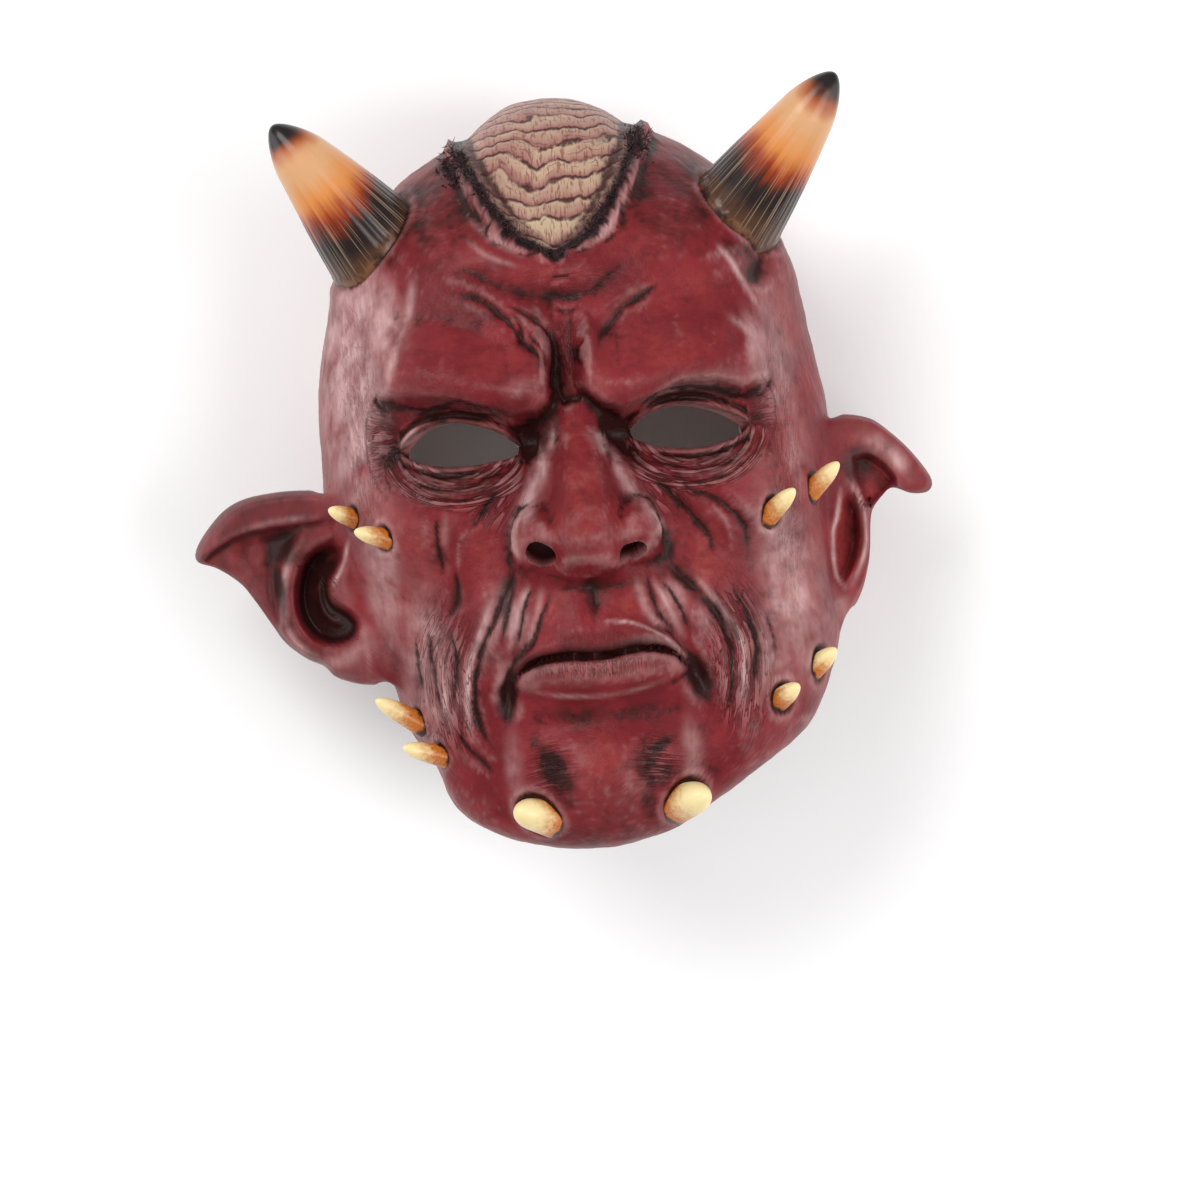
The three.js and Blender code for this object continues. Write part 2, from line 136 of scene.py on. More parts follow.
def near_stroke(x, y, points, margin):
    """Which points lie in the box round a drawn line, and their distances and shares along it."""
    path = smooth_path(points)
    low, high = path.min(0) - margin, path.max(0) + margin
    near = np.flatnonzero((x > low[0]) & (x < high[0]) & (y > low[1]) & (y < high[1]))
    return near, *near_path(x[near], y[near], path)


def fbm(points, scale, octaves=3, seed=0.0):
    """Fractal noise from -1 to 1 at each point, with a scale in cycles per millimetre."""
    offset = Vector((seed, seed * 1.7, seed * 0.3))
    return np.array([noise.fractal(Vector(p) * scale + offset, 0.8, 2.0, octaves) for p in points])


# Plain head


def outline(angle):
    """Radius of the head seen from the front: two half superellipses that meet at the eye line."""
    c, s = np.abs(np.cos(angle)) / HALF_WIDTH, np.abs(np.sin(angle))
    up = np.sin(angle) > 0
    power = np.where(up, 2.3, 2.22)
    reach = np.where(up, CROWN, CHIN)
    return (c**power + (s / reach) ** power) ** (-1 / power)


def section(angle):
    """Radius, depth of the widest place and of the edge, tuck of the edge, and squareness."""
    down = np.maximum(0, -np.sin(angle))
    side = np.cos(angle) ** 2
    widest = mix(SIDE_DEPTH, -12, ease(0.5, 1, down))
    edge = mix(RIM_DEPTH, -38, ease(0.62, 0.99, down))
    tuck = mix(0.05, 0.1, ease(0.6, 1, down))
    power = mix(np.where(down > 0, 3.6, 2.6), 3.1, side)
    return outline(angle), widest, edge, tuck, power


def head_depth(x, y):
    radius, widest, _, _, power = section(np.arctan2(y, x))
    share = np.minimum(0.9999, np.hypot(x, y) / radius)
    return widest + (FACE_FRONT - widest) * (1 - share**power) ** (1 / power)


def profile(angle):
    """Radius and depth along a ray from the eyes to the trimmed edge, closer together in front."""
    radius, widest, edge, tuck, power = (float(v) for v in section(angle))
    t = np.linspace(0, math.pi / 2, 401)
    s = np.linspace(0, 1, 61)[1:]
    r = np.concatenate([radius * np.sin(t) ** (2 / power), radius * (1 - tuck * s * s)])
    front = widest + (FACE_FRONT - widest) * np.maximum(0, np.cos(t)) ** (2 / power)
    z = np.concatenate([front, mix(widest, edge, s)])
    step = np.hypot(np.diff(r), np.diff(z)) * mix(0.35, 1, ease(-60, -20, z[1:]))
    length = np.concatenate([[0], np.cumsum(step)])
    even = np.linspace(0, length[-1], RINGS + 1)
    return np.interp(even, length, r), np.interp(even, length, z)


def lean(y):
    """Half of the sideways shift of the lower face: it hangs to one side, and the chin to the other."""
    return 4 * ease(-25, -80, y) - 6 * ease(-96, -124, y)


def broad_share(z):
    """How much of the sculpted forms the head gets: all in front, and nothing far back at the sides."""
    return ease(-60, -5, z)


def fine_share(z):
    """The same for creases and paint, which reach further round the sides."""
    return ease(-62, -20, z)


# Sculpted forms, in millimetres forward of the plain head

# Lower edges of the brows and the lines of the mouth, as places across and their heights
BROW_EDGE = {
    -1: ([-62, -55, -40, -30, -20, -12, -6, -3], [18, 16, 14, 10.5, 6.5, 7.5, 13, 18]),
    1: ([1, 4, 10, 16, 22, 30, 36, 48, 56, 64], [18, 15, 9.5, 6.5, 8.5, 11.5, 14, 13.5, 11, 14]),
}
LIP_LINE = (
    [-27, -23, -17, -8, 0, 6, 14, 21, 27, 32],
    [-78, -73.5, -71, -70.3, -71, -71, -69.8, -69.8, -72, -77],
)
LIP_BOTTOM = (
    [-28, -24, -18, -8, 3, 14, 22, 28, 33],
    [-79, -80.5, -82.4, -83.8, -84, -82.8, -81, -79, -78],
)
LIP_TOP = ([-30, -20, -10, -3, 2, 6, 15, 25, 34], [-78, -67, -61.5, -60, -61.3, -60, -61.5, -67, -77])


def nose_form(x, y):
    u = np.abs(x - 1.5)
    half = np.interp(-y, [-14, 0, 12, 22, 34], [5.5, 6.5, 8, 10, 10])
    rise = 19 * ease(16, -20, y) * ease(-49, -38.5, y)
    height = rise * (0.6 * np.exp(-((u / half) ** 6)) + 0.4 * np.exp(-((u / (1.75 * half)) ** 2.5)))
    height += 6 * mound(x, y, 1.5, -29, 13, 9, power=1.8)
    for cx, cy in ((-15.5, -32.0), (19.0, -31.5)):
        height += 9.5 * mound(x, y, cx, cy, 7.6, 8.6, power=1.9)
    height -= 3 * mound(x, y, -14, -37, 5, 4, -10, power=1.5)
    height -= 3 * mound(x, y, 15, -37.5, 6, 3, 32, power=1.5)
    return height


def brow_form(x, y):
    height = np.zeros_like(x)
    for side, (xs, ys) in BROW_EDGE.items():
        rise = y - np.interp(x, xs, ys)
        inner, outer = (-4, -9) if side < 0 else (1, 7)
        meeting = ease(-1.5 - 4.5 * side, -1.5 + 4.5 * side, x)
        wide = mix(ease(inner, outer, x), meeting, ease(38, 55, y)) * ease(side * 67, side * 58, x)
        roll = ease(-1.2, 3.2, rise) * (1 - 0.8 * ease(8, 30, rise))
        height += 11.5 * wide * roll
        height += 2.5 * mound(x, y, side * 17 + 2, 15, 8, 6, side * 25)
        height -= 10 * mound(x, y, side * 38, 1, 25, 11.5, power=1.5)
        height -= 7 * mound(x, y, side * 15, 1, 7, 8)
        height += 4 * mound(x, y, side * 38, -12, 23, 6)
        height += 3 * mound(x, y, side * 36, 62, 22, 14)
        height -= 4.5 * mound(x, y, side * 75, 28, 9, 34, power=1.5)
    return height


def cheek_form(x, y):
    height = np.zeros_like(x)
    for side in (-1, 1):
        height += 7 * mound(x, y, side * 54, -24, 17, 14, side * -20)
        height -= 4.5 * mound(x, y, side * 57, -62, 13, 22)
        height += 4 * mound(x, y, side * 48, -86, 9, 22)
        height += 3 * mound(x, y, 2 + side * 33, -68, 4.5, 22, side * -8)
    return height


def mouth_form(x, y):
    cx = x - 2.5
    line = np.interp(x, *LIP_LINE)
    top = np.interp(x, *LIP_TOP)
    wide = ease(32, 22, np.abs(cx))
    up = (y - line) / np.maximum(top - line, 2)
    height = 7 * mound(x, y, 2, -64, 31, 26)
    height += 2.8 * wide * ease(-0.05, 0.2, up) * ease(1.7, 0.5, up)
    down = (line - y) / np.maximum(line - np.interp(x, *LIP_BOTTOM), 2)
    height += 4.6 * wide * ease(-0.04, 0.22, down) * ease(1.3, 0.5, down)
    height -= 0.8 * wide * bell(y + 89, 4)
    height -= 5.5 * mound(x, y, -28, -81.5, 2.8, 6.8, -8)
    height -= 5.5 * mound(x, y, 33.5, -79, 3.4, 7, 12)
    return height


def chin_form(x, y):
    height = 9 * mound(x, y, 1, -112, 26, 17, power=1.2)
    height -= 2.2 * mound(x, y, 2, -93, 26, 5)
    for cx in (-16, 18):
        height -= 2 * mound(x, y, cx, -108, 6, 9)
    return height


def sculpted(x, y):
    return nose_form(x, y) + brow_form(x, y) + cheek_form(x, y) + mouth_form(x, y) + chin_form(x, y)


# Bare skull above the brow: its half width at each height, and its middle
CREST_Y = [61.5, 67, 74, 82.5, 93, 102.5, 120]
CREST_HALF = [0, 9, 15, 20.5, 25.5, 28.5, 29]
CREST_X = -1.5
SKULL_END = -84  # depth at which the bare skull ends on the crown


def crest_edge(x, y):
    """Distance in from the torn edge of the skin: positive on the bone."""
    half = np.interp(y, CREST_Y, CREST_HALF)
    slope = np.interp(y, CREST_Y[1:], np.diff(CREST_HALF) / np.diff(CREST_Y))
    inward = (half - np.abs(x - CREST_X)) / np.hypot(1, slope)
    return np.where(y < CREST_Y[0], -np.hypot(x - CREST_X, y - CREST_Y[0]), inward)


def crest_lift(x, y):
    """The dome of the bare skull, with the skin curled up round it."""
    inward = crest_edge(x, y)
    across = np.clip(np.abs(x - CREST_X) / CREST_HALF[-1], 0, 1)
    dome = 10 * (1 - across**2) * ease(62, 103, y) * (inward > -30)
    return dome + 2.6 * bell(inward + 2.5, 2.6) * ease(58, 66, y) - 1.2 * ease(0, 2.5, inward)


# Creases. Each is a few points, a half width, a depth and, where it is not the usual, how dark it is
# painted, as dark wash and painted shade. A negative depth is a ridge.


def eye_arcs(side):
    """Bags under one eye and folds over it, as arcs round the eye hole."""
    bags, folds = [], []
    for number in range(3):
        across, drop = 20 + 3 * number, 10.5 + 4.2 * number
        arc = [(-0.95, -0.4), (-0.7, -0.7), (-0.3, -0.94), (0.2, -1.0), (0.62, -0.78)]
        arc.append((0.9, -0.36 + 0.05 * number))
        points = [(side * (EYE_X + 1 + across * u), EYE_Y + 1 + drop * v) for u, v in arc]
        bags.append((points, 0.9, 1.3 - 0.2 * number, 0.6))
    for across, rise in ((21, 10.5), (22.5, 13)):
        arc = [(-0.85, 0.45), (-0.5, 0.8), (0, 1), (0.45, 0.9), (0.85, 0.5)]
        points = [(side * (EYE_X + across * u), EYE_Y + rise * v) for u, v in arc]
        folds.append((points, 0.9, 1.1, 0.8))
    return bags + folds


CREASES = [
    # Between the brows
    ([(-1, 10), (-3, 16), (-3.5, 24), (-3, 35)], 2.4, 4.0),
    ([(-3, 28), (-6, 36), (-13, 42), (-20, 47)], 1.0, 1.6),
    ([(-9, 18), (-10, 26), (-14, 33), (-19, 41), (-28, 48), (-40, 51)], 1.6, 2.2),
    ([(5, 21), (3.2, 26), (4, 30), (8, 35)], 1.2, 1.8),
    ([(10, 28), (13, 34), (18, 40), (24, 44), (32, 49)], 1.4, 2.0),
    ([(-16, 31), (-14, 38), (-18, 44)], 0.9, 1.2),
    ([(-7, 22), (-8.5, 29), (-12, 35)], 0.8, 1.2),
    ([(-3, 12), (0, 13.5), (4, 12.5)], 1.4, 2.2),
    # Forehead, under the bare skull
    ([(-38, 60), (-30, 57), (-20, 51), (-10, 48), (0, 47), (10, 49), (18, 54), (24, 59)], 3.6, 2.4, 0.4),
    ([(-5, 52.5), (0, 53.5), (4, 53)], 0.8, 0.8),
    ([(-4, 44), (1, 42.5), (6, 44)], 0.8, 0.7),
    # Outer ends of the brows
    ([(66, 20), (66.5, 15), (64, 10), (60, 8)], 1.2, 1.2, 0.4),
    ([(64, 62), (65, 55), (64.5, 45)], 4.4, 5.0, 0.45),
    ([(-66, 22), (-64, 16), (-60, 13)], 1.2, 1.2),
    # Beside the nose
    ([(-14, -20), (-20, -22), (-24.5, -29), (-24, -37), (-23, -43)], 1.2, 1.6, 0.35),
    ([(17, -19), (23.5, -22), (27.5, -29), (27, -36), (26.5, -42)], 1.2, 1.6, 0.35),
    ([(-12, 4), (-15, -3), (-19, -7)], 2.0, 2.0),
    ([(9, 8), (13, 1), (18, -7), (24, -12)], 2.2, 2.2),
    # Cheeks, right side of the wearer
    ([(-22, -12), (-30, -20), (-37, -27)], 1.5, 1.6),
    ([(-47, -22), (-48, -30), (-47, -42)], 1.5, 1.7),
    ([(-42, -37), (-43, -48), (-46, -56)], 1.3, 1.5),
    ([(-22, -40), (-24, -45), (-27, -50), (-31, -57), (-35, -64)], 2.2, 3.0),
    ([(-29, -53), (-34, -62), (-38, -71), (-39, -81), (-37.5, -91), (-34, -99)], 1.2, 2.2),
    ([(-46, -57), (-45, -68), (-46, -78), (-48, -87)], 1.2, 1.5),
    ([(-47, -90), (-42, -98), (-35, -107)], 1.2, 1.4),
    ([(-52, -56), (-53, -70), (-51, -84), (-47, -96)], 1.0, 1.0),
    ([(-57, -60), (-58, -70), (-56, -80)], 1.0, 0.8),
    # Cheeks, left side of the wearer
    ([(20, -13), (27, -18), (34, -25), (40, -35), (42, -42)], 1.7, 2.0),
    ([(28, -14), (38, -20), (47, -25), (53, -32), (54, -42)], 1.5, 1.8),
    ([(26, -38), (29, -45), (35, -52), (41, -59), (44, -64)], 2.8, 2.4, 0.75),
    ([(38, -55), (43, -62), (46, -72), (45, -82), (41, -95)], 1.2, 2.0),
    ([(43, -49), (51, -59), (54, -68), (53, -79), (49, -90)], 1.5, 1.8),
    ([(58, -60), (59, -72), (57, -82)], 1.0, 0.8),
    # Under the nose
    ([(-23, -39), (-14, -43), (-4, -46), (2, -47), (8, -45), (18, -42), (25, -39)], 1.2, 0.8, 0.1),
    ([(1, -46), (1.5, -51), (2, -57)], 2.6, 1.5, 0.8),
    ([(-17, -46), (-20, -54), (-24, -65)], 0.9, 1.3, 0.7),
    ([(-22, -45), (-26.5, -55), (-29.5, -66)], 1.0, 1.4, 0.7),
    ([(-12, -49), (-14, -56), (-18, -64), (-23, -70)], 0.8, 1.0, 0.55),
    ([(19, -46), (22, -55), (27, -65)], 0.9, 1.2, 0.6),
    ([(24, -46), (29, -56), (33, -67)], 1.0, 1.2, 0.6),
    # Round the mouth
    ([(-29, -81), (-23, -73.5), (-17, -71), (-8, -70.3), (3, -71), (14, -69.8), (21, -69.8), (27, -72),
      (34, -80)], 1.2, 2.0, 0.8),
    ([(3, -61), (7, -60), (15, -61.5), (25, -67), (33, -76)], 0.9, -0.4),
    ([(-24, -80.5), (-8, -83.8), (3, -84), (15, -82.6), (27, -79.5)], 0.7, -0.3),
    # Ridges between the folds of the cheeks
    ([(-29, -49), (-34, -60), (-40, -75), (-41, -92)], 1.6, -1.3),
    ([(34, -47), (43, -60), (49, -72), (48, -88)], 1.6, -1.2),
    ([(-33, -22), (-40, -31), (-41, -42)], 1.8, -1.0),
    ([(34, -17), (46, -28), (48, -42)], 1.8, -1.0),
]
CREASES += eye_arcs(-1) + eye_arcs(1)
CREASE_DEPTH = 0.62  # share of the depths above that is cut into the skin; the rest is shown as dark wash and painted shade


def eye_rims(x, y):
    """Nearness to the edge of the nearest eye hole, from 0 to 1."""
    lid = lid_height(x, y > EYE_Y)
    level = np.abs(np.abs(x) - EYE_X) < EYE_HALF + 1
    return bell(np.abs(y - EYE_Y) - lid, 1.1) * level


def warped(x, y):
    """Places moved a little by noise, so that no drawn line stays even."""
    spots = np.stack([x, y, 0 * x], 1)
    # The line of the mouth stays where it is
    loose = 1 - mound(x, y, 2, -73, 36, 12, power=2)
    right = 1.4 * fbm(spots, 0.06, 2, 11.0) + 0.2 * fbm(spots, 0.33, 2, 12.0)
    up = 1.4 * fbm(spots, 0.06, 2, 13.0) + 0.2 * fbm(spots, 0.33, 2, 14.0)
    return x + loose * right, y + loose * up


def creased(x, y):
    """Height, and dark wash with painted shade, of all the creases, each a groove between two soft ridges.
    """
    x, y = warped(x, y)
    height, wash_and_shade = np.zeros_like(x), np.zeros_like(x)
    uneven = fbm(np.stack([x, y, 0 * x + 7], 1), 0.14, 3, 15.0)
    for points, width, depth, *dark in CREASES:
        near, gap, along = near_stroke(x, y, points, 6 * width)
        taper = ease(-0.05, 0.3, along) * ease(1.05, 0.7, along)
        groove = np.exp(-((gap / width) ** 1.5))
        ridges = 0.3 * bell(gap - 2.6 * width, 1.6 * width)
        height[near] += CREASE_DEPTH * depth * taper * (ridges - groove)
        if depth < 0:
            continue
        strength = (dark[0] if dark else min(1, 0.32 + 0.27 * depth)) * taper
        line = np.maximum(0.84 * bell(gap, 0.8 * width), 0.56 * bell(gap, 2.2 * width))
        line *= np.clip(0.85 + 1.1 * uneven[near], 0.3, 1.1)
        wash_and_shade[near] = np.maximum(wash_and_shade[near], strength * line)
    return height, wash_and_shade


def fold_flow(x, y):
    """Places across and along the fine folds of the skin, in millimetres, and how strong they are."""
    across, along, strength = np.zeros_like(x), np.zeros_like(x), np.zeros_like(x)

    def lay(a, b, s):
        """Takes over where these folds are stronger than those laid before."""
        more = s > strength
        across[more], along[more], strength[more] = a[more], b[more], s[more]

    for side in (-1, 1):
        out, up = side * x - EYE_X, y - EYE_Y
        ring = np.hypot(out / 1.3, up)
        turn = np.arctan2(up, out / 1.3) * 9
        bag = ease(8.5, 10.5, ring) * ease(25, 17, ring) * ease(2, -4, up) * ease(-24, -16, out)
        lay(ring, turn, bag * (1.0 if side < 0 else 0.9))
        lay(ring, turn, 0.55 * ease(8, 9.5, ring) * ease(16, 13, ring) * ease(2, 6, up))
        foot = np.arctan2(y - 3, side * x - 40)
        crow = 0.9 if side < 0 else 0.5
        lay(26 * foot, 1.1 * x, crow * mound(x, y, side * 63.5, 4, 5.5, 15, power=1.2))
        inner = np.arctan2(y - 6, side * x - 6)
        lay(inner * 24, side * x, 0.6 * mound(x, y, side * 27, -19, 12, 9, side * -40, power=1.5))
        fold = smooth_path([(side * 22, -40), (side * 31, -57), (side * 39, -74), (side * 36, -96)])
        gap, place = near_path(x, y, fold)
        lay(gap, place * 60, 0.75 * mound(x, y, side * 48, -76, 12, 30, power=1.5))
        lay(1.1 * y + 0.004 * x * x, 0.6 * x, 0.65 * mound(x, y, 1 + side * 17, -107, 9, 11, side * -12))
    lay(1.5 * x, y, 0.55 * mound(x, y, 2, -75, 24, 4.4, power=2))
    lay(1.5 * x, y, 0.35 * mound(x, y, 2, -66, 22, 4, power=2))
    lay(x / (1 + 0.04 * np.maximum(0, y - 16)), y, 0.45 * mound(x, y, -2, 28, 10, 15, power=1.5))
    lay(y + 0.006 * x * x, x, 0.3 * mound(x, y, 0, 52, 32, 9, power=1.5))
    lay(y + 0.01 * x * x, x, 0.2 * mound(x, y, 2, -91, 25, 5.5, power=1.5))
    lay(x + 0.1 * y, y, 0.4 * mound(x, y, -70, 15, 9, 50, power=2))
    lay(x - 0.05 * y, y, 0.4 * mound(x, y, 68, -10, 8, 60, power=2))
    return across, along, strength


# Skin


def ray_angles():
    up = np.arange(RAYS_UP) / RAYS_UP
    down = np.arange(RAYS_DOWN) / RAYS_DOWN
    crowded = down + 0.25 * np.sin(2 * math.pi * down) / (2 * math.pi)
    return np.concatenate([up, 1 + crowded]) * math.pi


def lid_height(x, above):
    """Height of the lid edge over or under the slit of the nearest eye."""
    side = np.sign(x)
    s = np.clip((np.abs(x) - EYE_X) / EYE_HALF, -1, 1)
    arch = 1 - s * s
    upper = 7.5 * arch ** np.where(side < 0, 0.8, 0.75) * (1 + np.where(side < 0, 0.4, -0.2) * s)
    return np.where(above, upper, 7.0 * arch**0.65)


def skin_points(angles, radius, depth, lower_lids):
    """Outer skin of the plain head, its share of the sculpted forms, and its distance to the eye holes."""
    x = radius * np.cos(angles)
    y = EYE_Y + radius * np.sin(angles)
    away = np.abs(y - EYE_Y)
    above = np.where(away < 0.001, not lower_lids, y > EYE_Y)
    front = depth > SIDE_DEPTH + 20
    opened = front & (np.abs(np.abs(x) - EYE_X) < EYE_HALF) & (away < EYE_SPREAD)
    lid = lid_height(x, above)
    moved = EYE_Y + np.where(above, 1, -1) * (lid + away * (1 - lid / EYE_SPREAD))
    y = np.where(opened, moved, y)
    z = np.where(opened, head_depth(x, y - EYE_Y), depth)
    y = y - 3 * mound(x, y, -15, -1, 8, 8) * front
    x = x + lean(y) - 2.5 * ease(50, 76, x) * bell(y - 30, 18)
    return x, y, z, broad_share(z), np.where(opened, away, 9)


def place_skin(lower_lids):
    """Skin points of the whole grid before creases, the plain head under them, and the first ray.

    Points on the slits of the eyes go to the upper or to the lower lids."""
    angles = ray_angles()
    radius, depth = (np.array(rows) for rows in zip(*[profile(a) for a in angles]))
    turn = np.repeat(angles, RINGS + 1)
    x, y, z, facing, to_edge = skin_points(turn, radius.ravel(), depth.ravel(), lower_lids)
    outward = np.stack([x / HALF_WIDTH, y / CROWN, 0.35 * facing + 0.02], 1)
    outward /= np.linalg.norm(outward, axis=1)[:, None]
    lift = crest_lift(x, y)
    x = x + lean(y)  # the second half of the shift
    plain = np.stack([x, y, z], 1)
    z = z + sculpted(x, y) * facing
    z += facing * (0.9 * bell(to_edge - 1.0, 1.2) - 1.2 * bell(to_edge - 3.6, 1.2))
    return np.stack([x, y, z], 1) + outward * lift[:, None], plain, radius[0]


def vertex_normals(points, faces):
    a, b, c = (points[faces[:, i]] for i in range(3))
    each = np.cross(b - a, c - a)
    normals = np.zeros_like(points)
    for corner in range(3):
        for axis in range(3):
            normals[:, axis] += np.bincount(faces[:, corner], each[:, axis], len(points))
    return normals / np.maximum(np.linalg.norm(normals, axis=1), 1e-9)[:, None]


def with_area(faces):
    """The triangles whose three corners are different points."""
    return faces[(faces != np.roll(faces, 1, 1)).all(1)]


def lay_faces(upper, lower, points, flip=False):
    """Triangles of a closed grid. The rays of the lower half take their points from the second table."""
    is_low = (np.arange(len(upper)) >= len(upper) * RAYS_UP // RAYS)[:, None]
    here = np.where(is_low, lower, upper)
    there = np.where(is_low, np.roll(lower, -1, 0), np.roll(upper, -1, 0))
    a, b = here[:, :-1].ravel(), here[:, 1:].ravel()
    d, c = there[:, :-1].ravel(), there[:, 1:].ravel()
    level = np.abs(points[a, 2] - points[c, 2]) <= np.abs(points[b, 2] - points[d, 2])
    one = np.where(level[:, None], np.stack([a, b, c], 1), np.stack([b, c, d], 1))
    two = np.where(level[:, None], np.stack([a, c, d], 1), np.stack([b, d, a], 1))
    faces = with_area(np.vstack([one, two]))
    return faces[:, ::-1] if flip else faces


def ring_faces(numbers, flip=False):
    """Triangles between closed rows of points, given as a table of point numbers."""
    a, b = numbers[:-1], numbers[1:]
    a_next, b_next = np.roll(a, -1, 1), np.roll(b, -1, 1)
    cells = (a, a_next, b_next, b) if flip else (a, b, b_next, a_next)
    a, b, c, d = (corner.ravel() for corner in cells)
    return with_area(np.vstack([np.stack([a, b, c], 1), np.stack([a, c, d], 1)]))


def zip_rows(a, a_place, b, b_place):
    """Triangles between two rows of points that run side by side."""
    faces = []
    i = j = 0
    while i < len(a) - 1 or j < len(b) - 1:
        if j == len(b) - 1 or (i < len(a) - 1 and a_place[i + 1] <= b_place[j + 1]):
            faces.append((a[i], b[j], a[i + 1]))
            i += 1
        else:
            faces.append((a[i], b[j], b[j + 1]))
            j += 1
    return faces


def numbered(rows, columns):
    """A table of point numbers, row by row."""
    return np.arange(rows * columns).reshape(rows, columns)


def tables(start, slit_from, slit_to, rays, rings):
    """Point numbers by ray and ring for the upper and the lower half, and the rings inside the eye slits.

    The two tables differ only there."""
    upper = start + numbered(rays, rings + 1)
    upper[:, 0] = upper[0, 0]
    lower = upper.copy()
    inside = np.arange(slit_from + 1, slit_to)
    first = start + rays * (rings + 1)
    for place, ray in enumerate((0, rays * RAYS_UP // RAYS)):
        lower[ray, inside] = first + place * len(inside) + np.arange(len(inside))
    return upper, lower, inside


def coarse_head(points):
    """Every few points of the fine grid, their table of numbers, triangles and normals."""
    points = points[numbered(RAYS, RINGS + 1)[::COARSE, ::COARSE].ravel()]
    upper, lower, _ = tables(0, 0, 0, COARSE_RAYS, COARSE_RINGS)
    faces = lay_faces(upper, lower, points)
    return points, upper, faces, vertex_normals(points, faces)


def lining(outer, plain):
    """Coarse inner face, which stays a wall's thickness behind every point of the skin nearby."""
    base, upper, _, normals = coarse_head(plain)
    normals[upper[:, 0]] = (0, 0, 1)
    normals[numbered(COARSE_RAYS, COARSE_RINGS + 1)[:, -1], 2] = 0
    normals /= np.linalg.norm(normals, axis=1)[:, None]
    ray_of, ring_of = np.divmod(np.arange(len(base)), COARSE_RINGS + 1)
    closest = np.full(len(base), FAR)
    nearby = range(-COARSE, COARSE + 1)
    for ray_shift, ring_shift in product(nearby, nearby):
        ray = (ray_of * COARSE + ray_shift) % RAYS
        ring = np.clip(ring_of * COARSE + ring_shift, 0, RINGS)
        gap = ((outer[ray * (RINGS + 1) + ring] - base) * normals).sum(1)
        closest = np.minimum(closest, gap)
    return base + normals * (closest - WALL)[:, None]


def hollow_head():
    """Points and triangles of the shell: fine outer skin, coarser lining, and the edges between them."""
    high, plain, radius = place_skin(False)
    low, _, _ = place_skin(True)
    slit_from, slit_to = np.searchsorted(radius, (EYE_X - EYE_HALF, EYE_X + EYE_HALF))
    upper, lower, inside = tables(0, slit_from, slit_to, RAYS, RINGS)
    smooth = np.vstack([high, low[upper[0, inside]], low[upper[RAYS_UP, inside]]])
    outer_faces = lay_faces(upper, lower, smooth)
    normals = vertex_normals(smooth, outer_faces)
    normals[upper[:, -1], 2] = 0
    outer = smooth + normals * relief(smooth)[:, None]

    near, far = slit_from // COARSE, -(-slit_to // COARSE)
    in_upper, in_lower, in_inside = tables(len(outer), near, far, COARSE_RAYS, COARSE_RINGS)
    inner = lining(outer, plain)
    lids = []
    for ray in (0, RAYS_UP):
        lid = lower[ray, np.clip(in_inside * COARSE, slit_from, slit_to)]
        raised = inner[(ray // COARSE) * (COARSE_RINGS + 1) + in_inside]
        lids.append(np.stack([outer[lid, 0], outer[lid, 1], raised[:, 2]], 1))
    points = np.vstack([outer, inner, *lids])
    inner_faces = lay_faces(in_upper, in_lower, points, True)

    edges = zip_rows(
        np.append(upper[:, -1], upper[0, -1]), np.arange(RAYS + 1),
        np.append(in_upper[:, -1], in_upper[0, -1]), np.arange(COARSE_RAYS + 1) * COARSE,
    )
    for ray, (fine, coarse) in product((0, RAYS_UP), ((upper, in_upper), (lower, in_lower))):
        edges += zip_rows(
            fine[ray, slit_from : slit_to + 1], np.arange(slit_from, slit_to + 1),
            coarse[ray // COARSE, near : far + 1], np.arange(near, far + 1) * COARSE,
        )
    return points, np.vstack([outer_faces, inner_faces, edges]), len(outer)


def head_plug():
    """The head as a coarse closed body whose surface stands half a wall inside the skin."""
    points, upper, faces, normals = coarse_head(place_skin(False)[0])
    points = points + normals * (-WALL / 2)
    rim = upper[:, -1]
    cap = np.stack([np.roll(rim, -1), rim, np.full(COARSE_RAYS, len(points))], 1)
    return np.vstack([points, (0, 0, RIM_DEPTH)]), np.vstack([faces, cap])


# Horns and spikes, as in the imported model

# Centre lines of the horns and radii of their feet
HORNS = {
    "horn_right": ([(-49.5, 55, -34), (-75, 90, -14), (-91, 111, -4)], 20.5),
    "horn_left": ([(47, 57.5, -31), (77, 92, -10), (94.5, 113, 2)], 18.6),
}
HORN_TIP, HORN_SWELL = 6.0, 1.4
HORN_SEAT = 0.3  # share of the centre line that is hidden under the skin
HORN_AT_SEAT = 0.873  # share of the foot's radius that a horn has where it comes out of the skin
# Place across and up, reach from there to the tip, and radius of the foot of each spike
SPIKES = {
    "cheek_spike_right_inner": ((-65, -27), (-9, 2.8, 5.7), 3.5),
    "cheek_spike_right_outer": ((-75, -19.5), (-7.6, 3.4, 4.3), 3.4),
    "cheek_spike_left_inner": ((62, -29), (8, 7, 7), 3.6),
    "cheek_spike_left_outer": ((77, -22), (9, 8, 5), 3.6),
    "jaw_spike_right_upper": ((-61, -87), (-11, 7.4, 6), 3.6),
    "jaw_spike_right_lower": ((-54, -99), (-10, 3.2, 6), 3.6),
    "jaw_spike_left_upper": ((71, -82), (9, 7, 6), 4.0),
    "jaw_spike_left_lower": ((59.5, -90.5), (6.8, 4.8, 8), 3.9),
    "chin_spike_right": ((-21, -121.5), (-7.5, 2.5, 9), 6.0),
    "chin_spike_left": ((26.5, -120.5), (7, 2, 10.5), 6.4),
}
SPIKE_ROOT, SPIKE_TIP_SHARE = 6.0, 0.72  # length under the skin, and radius of the tip to that of the foot

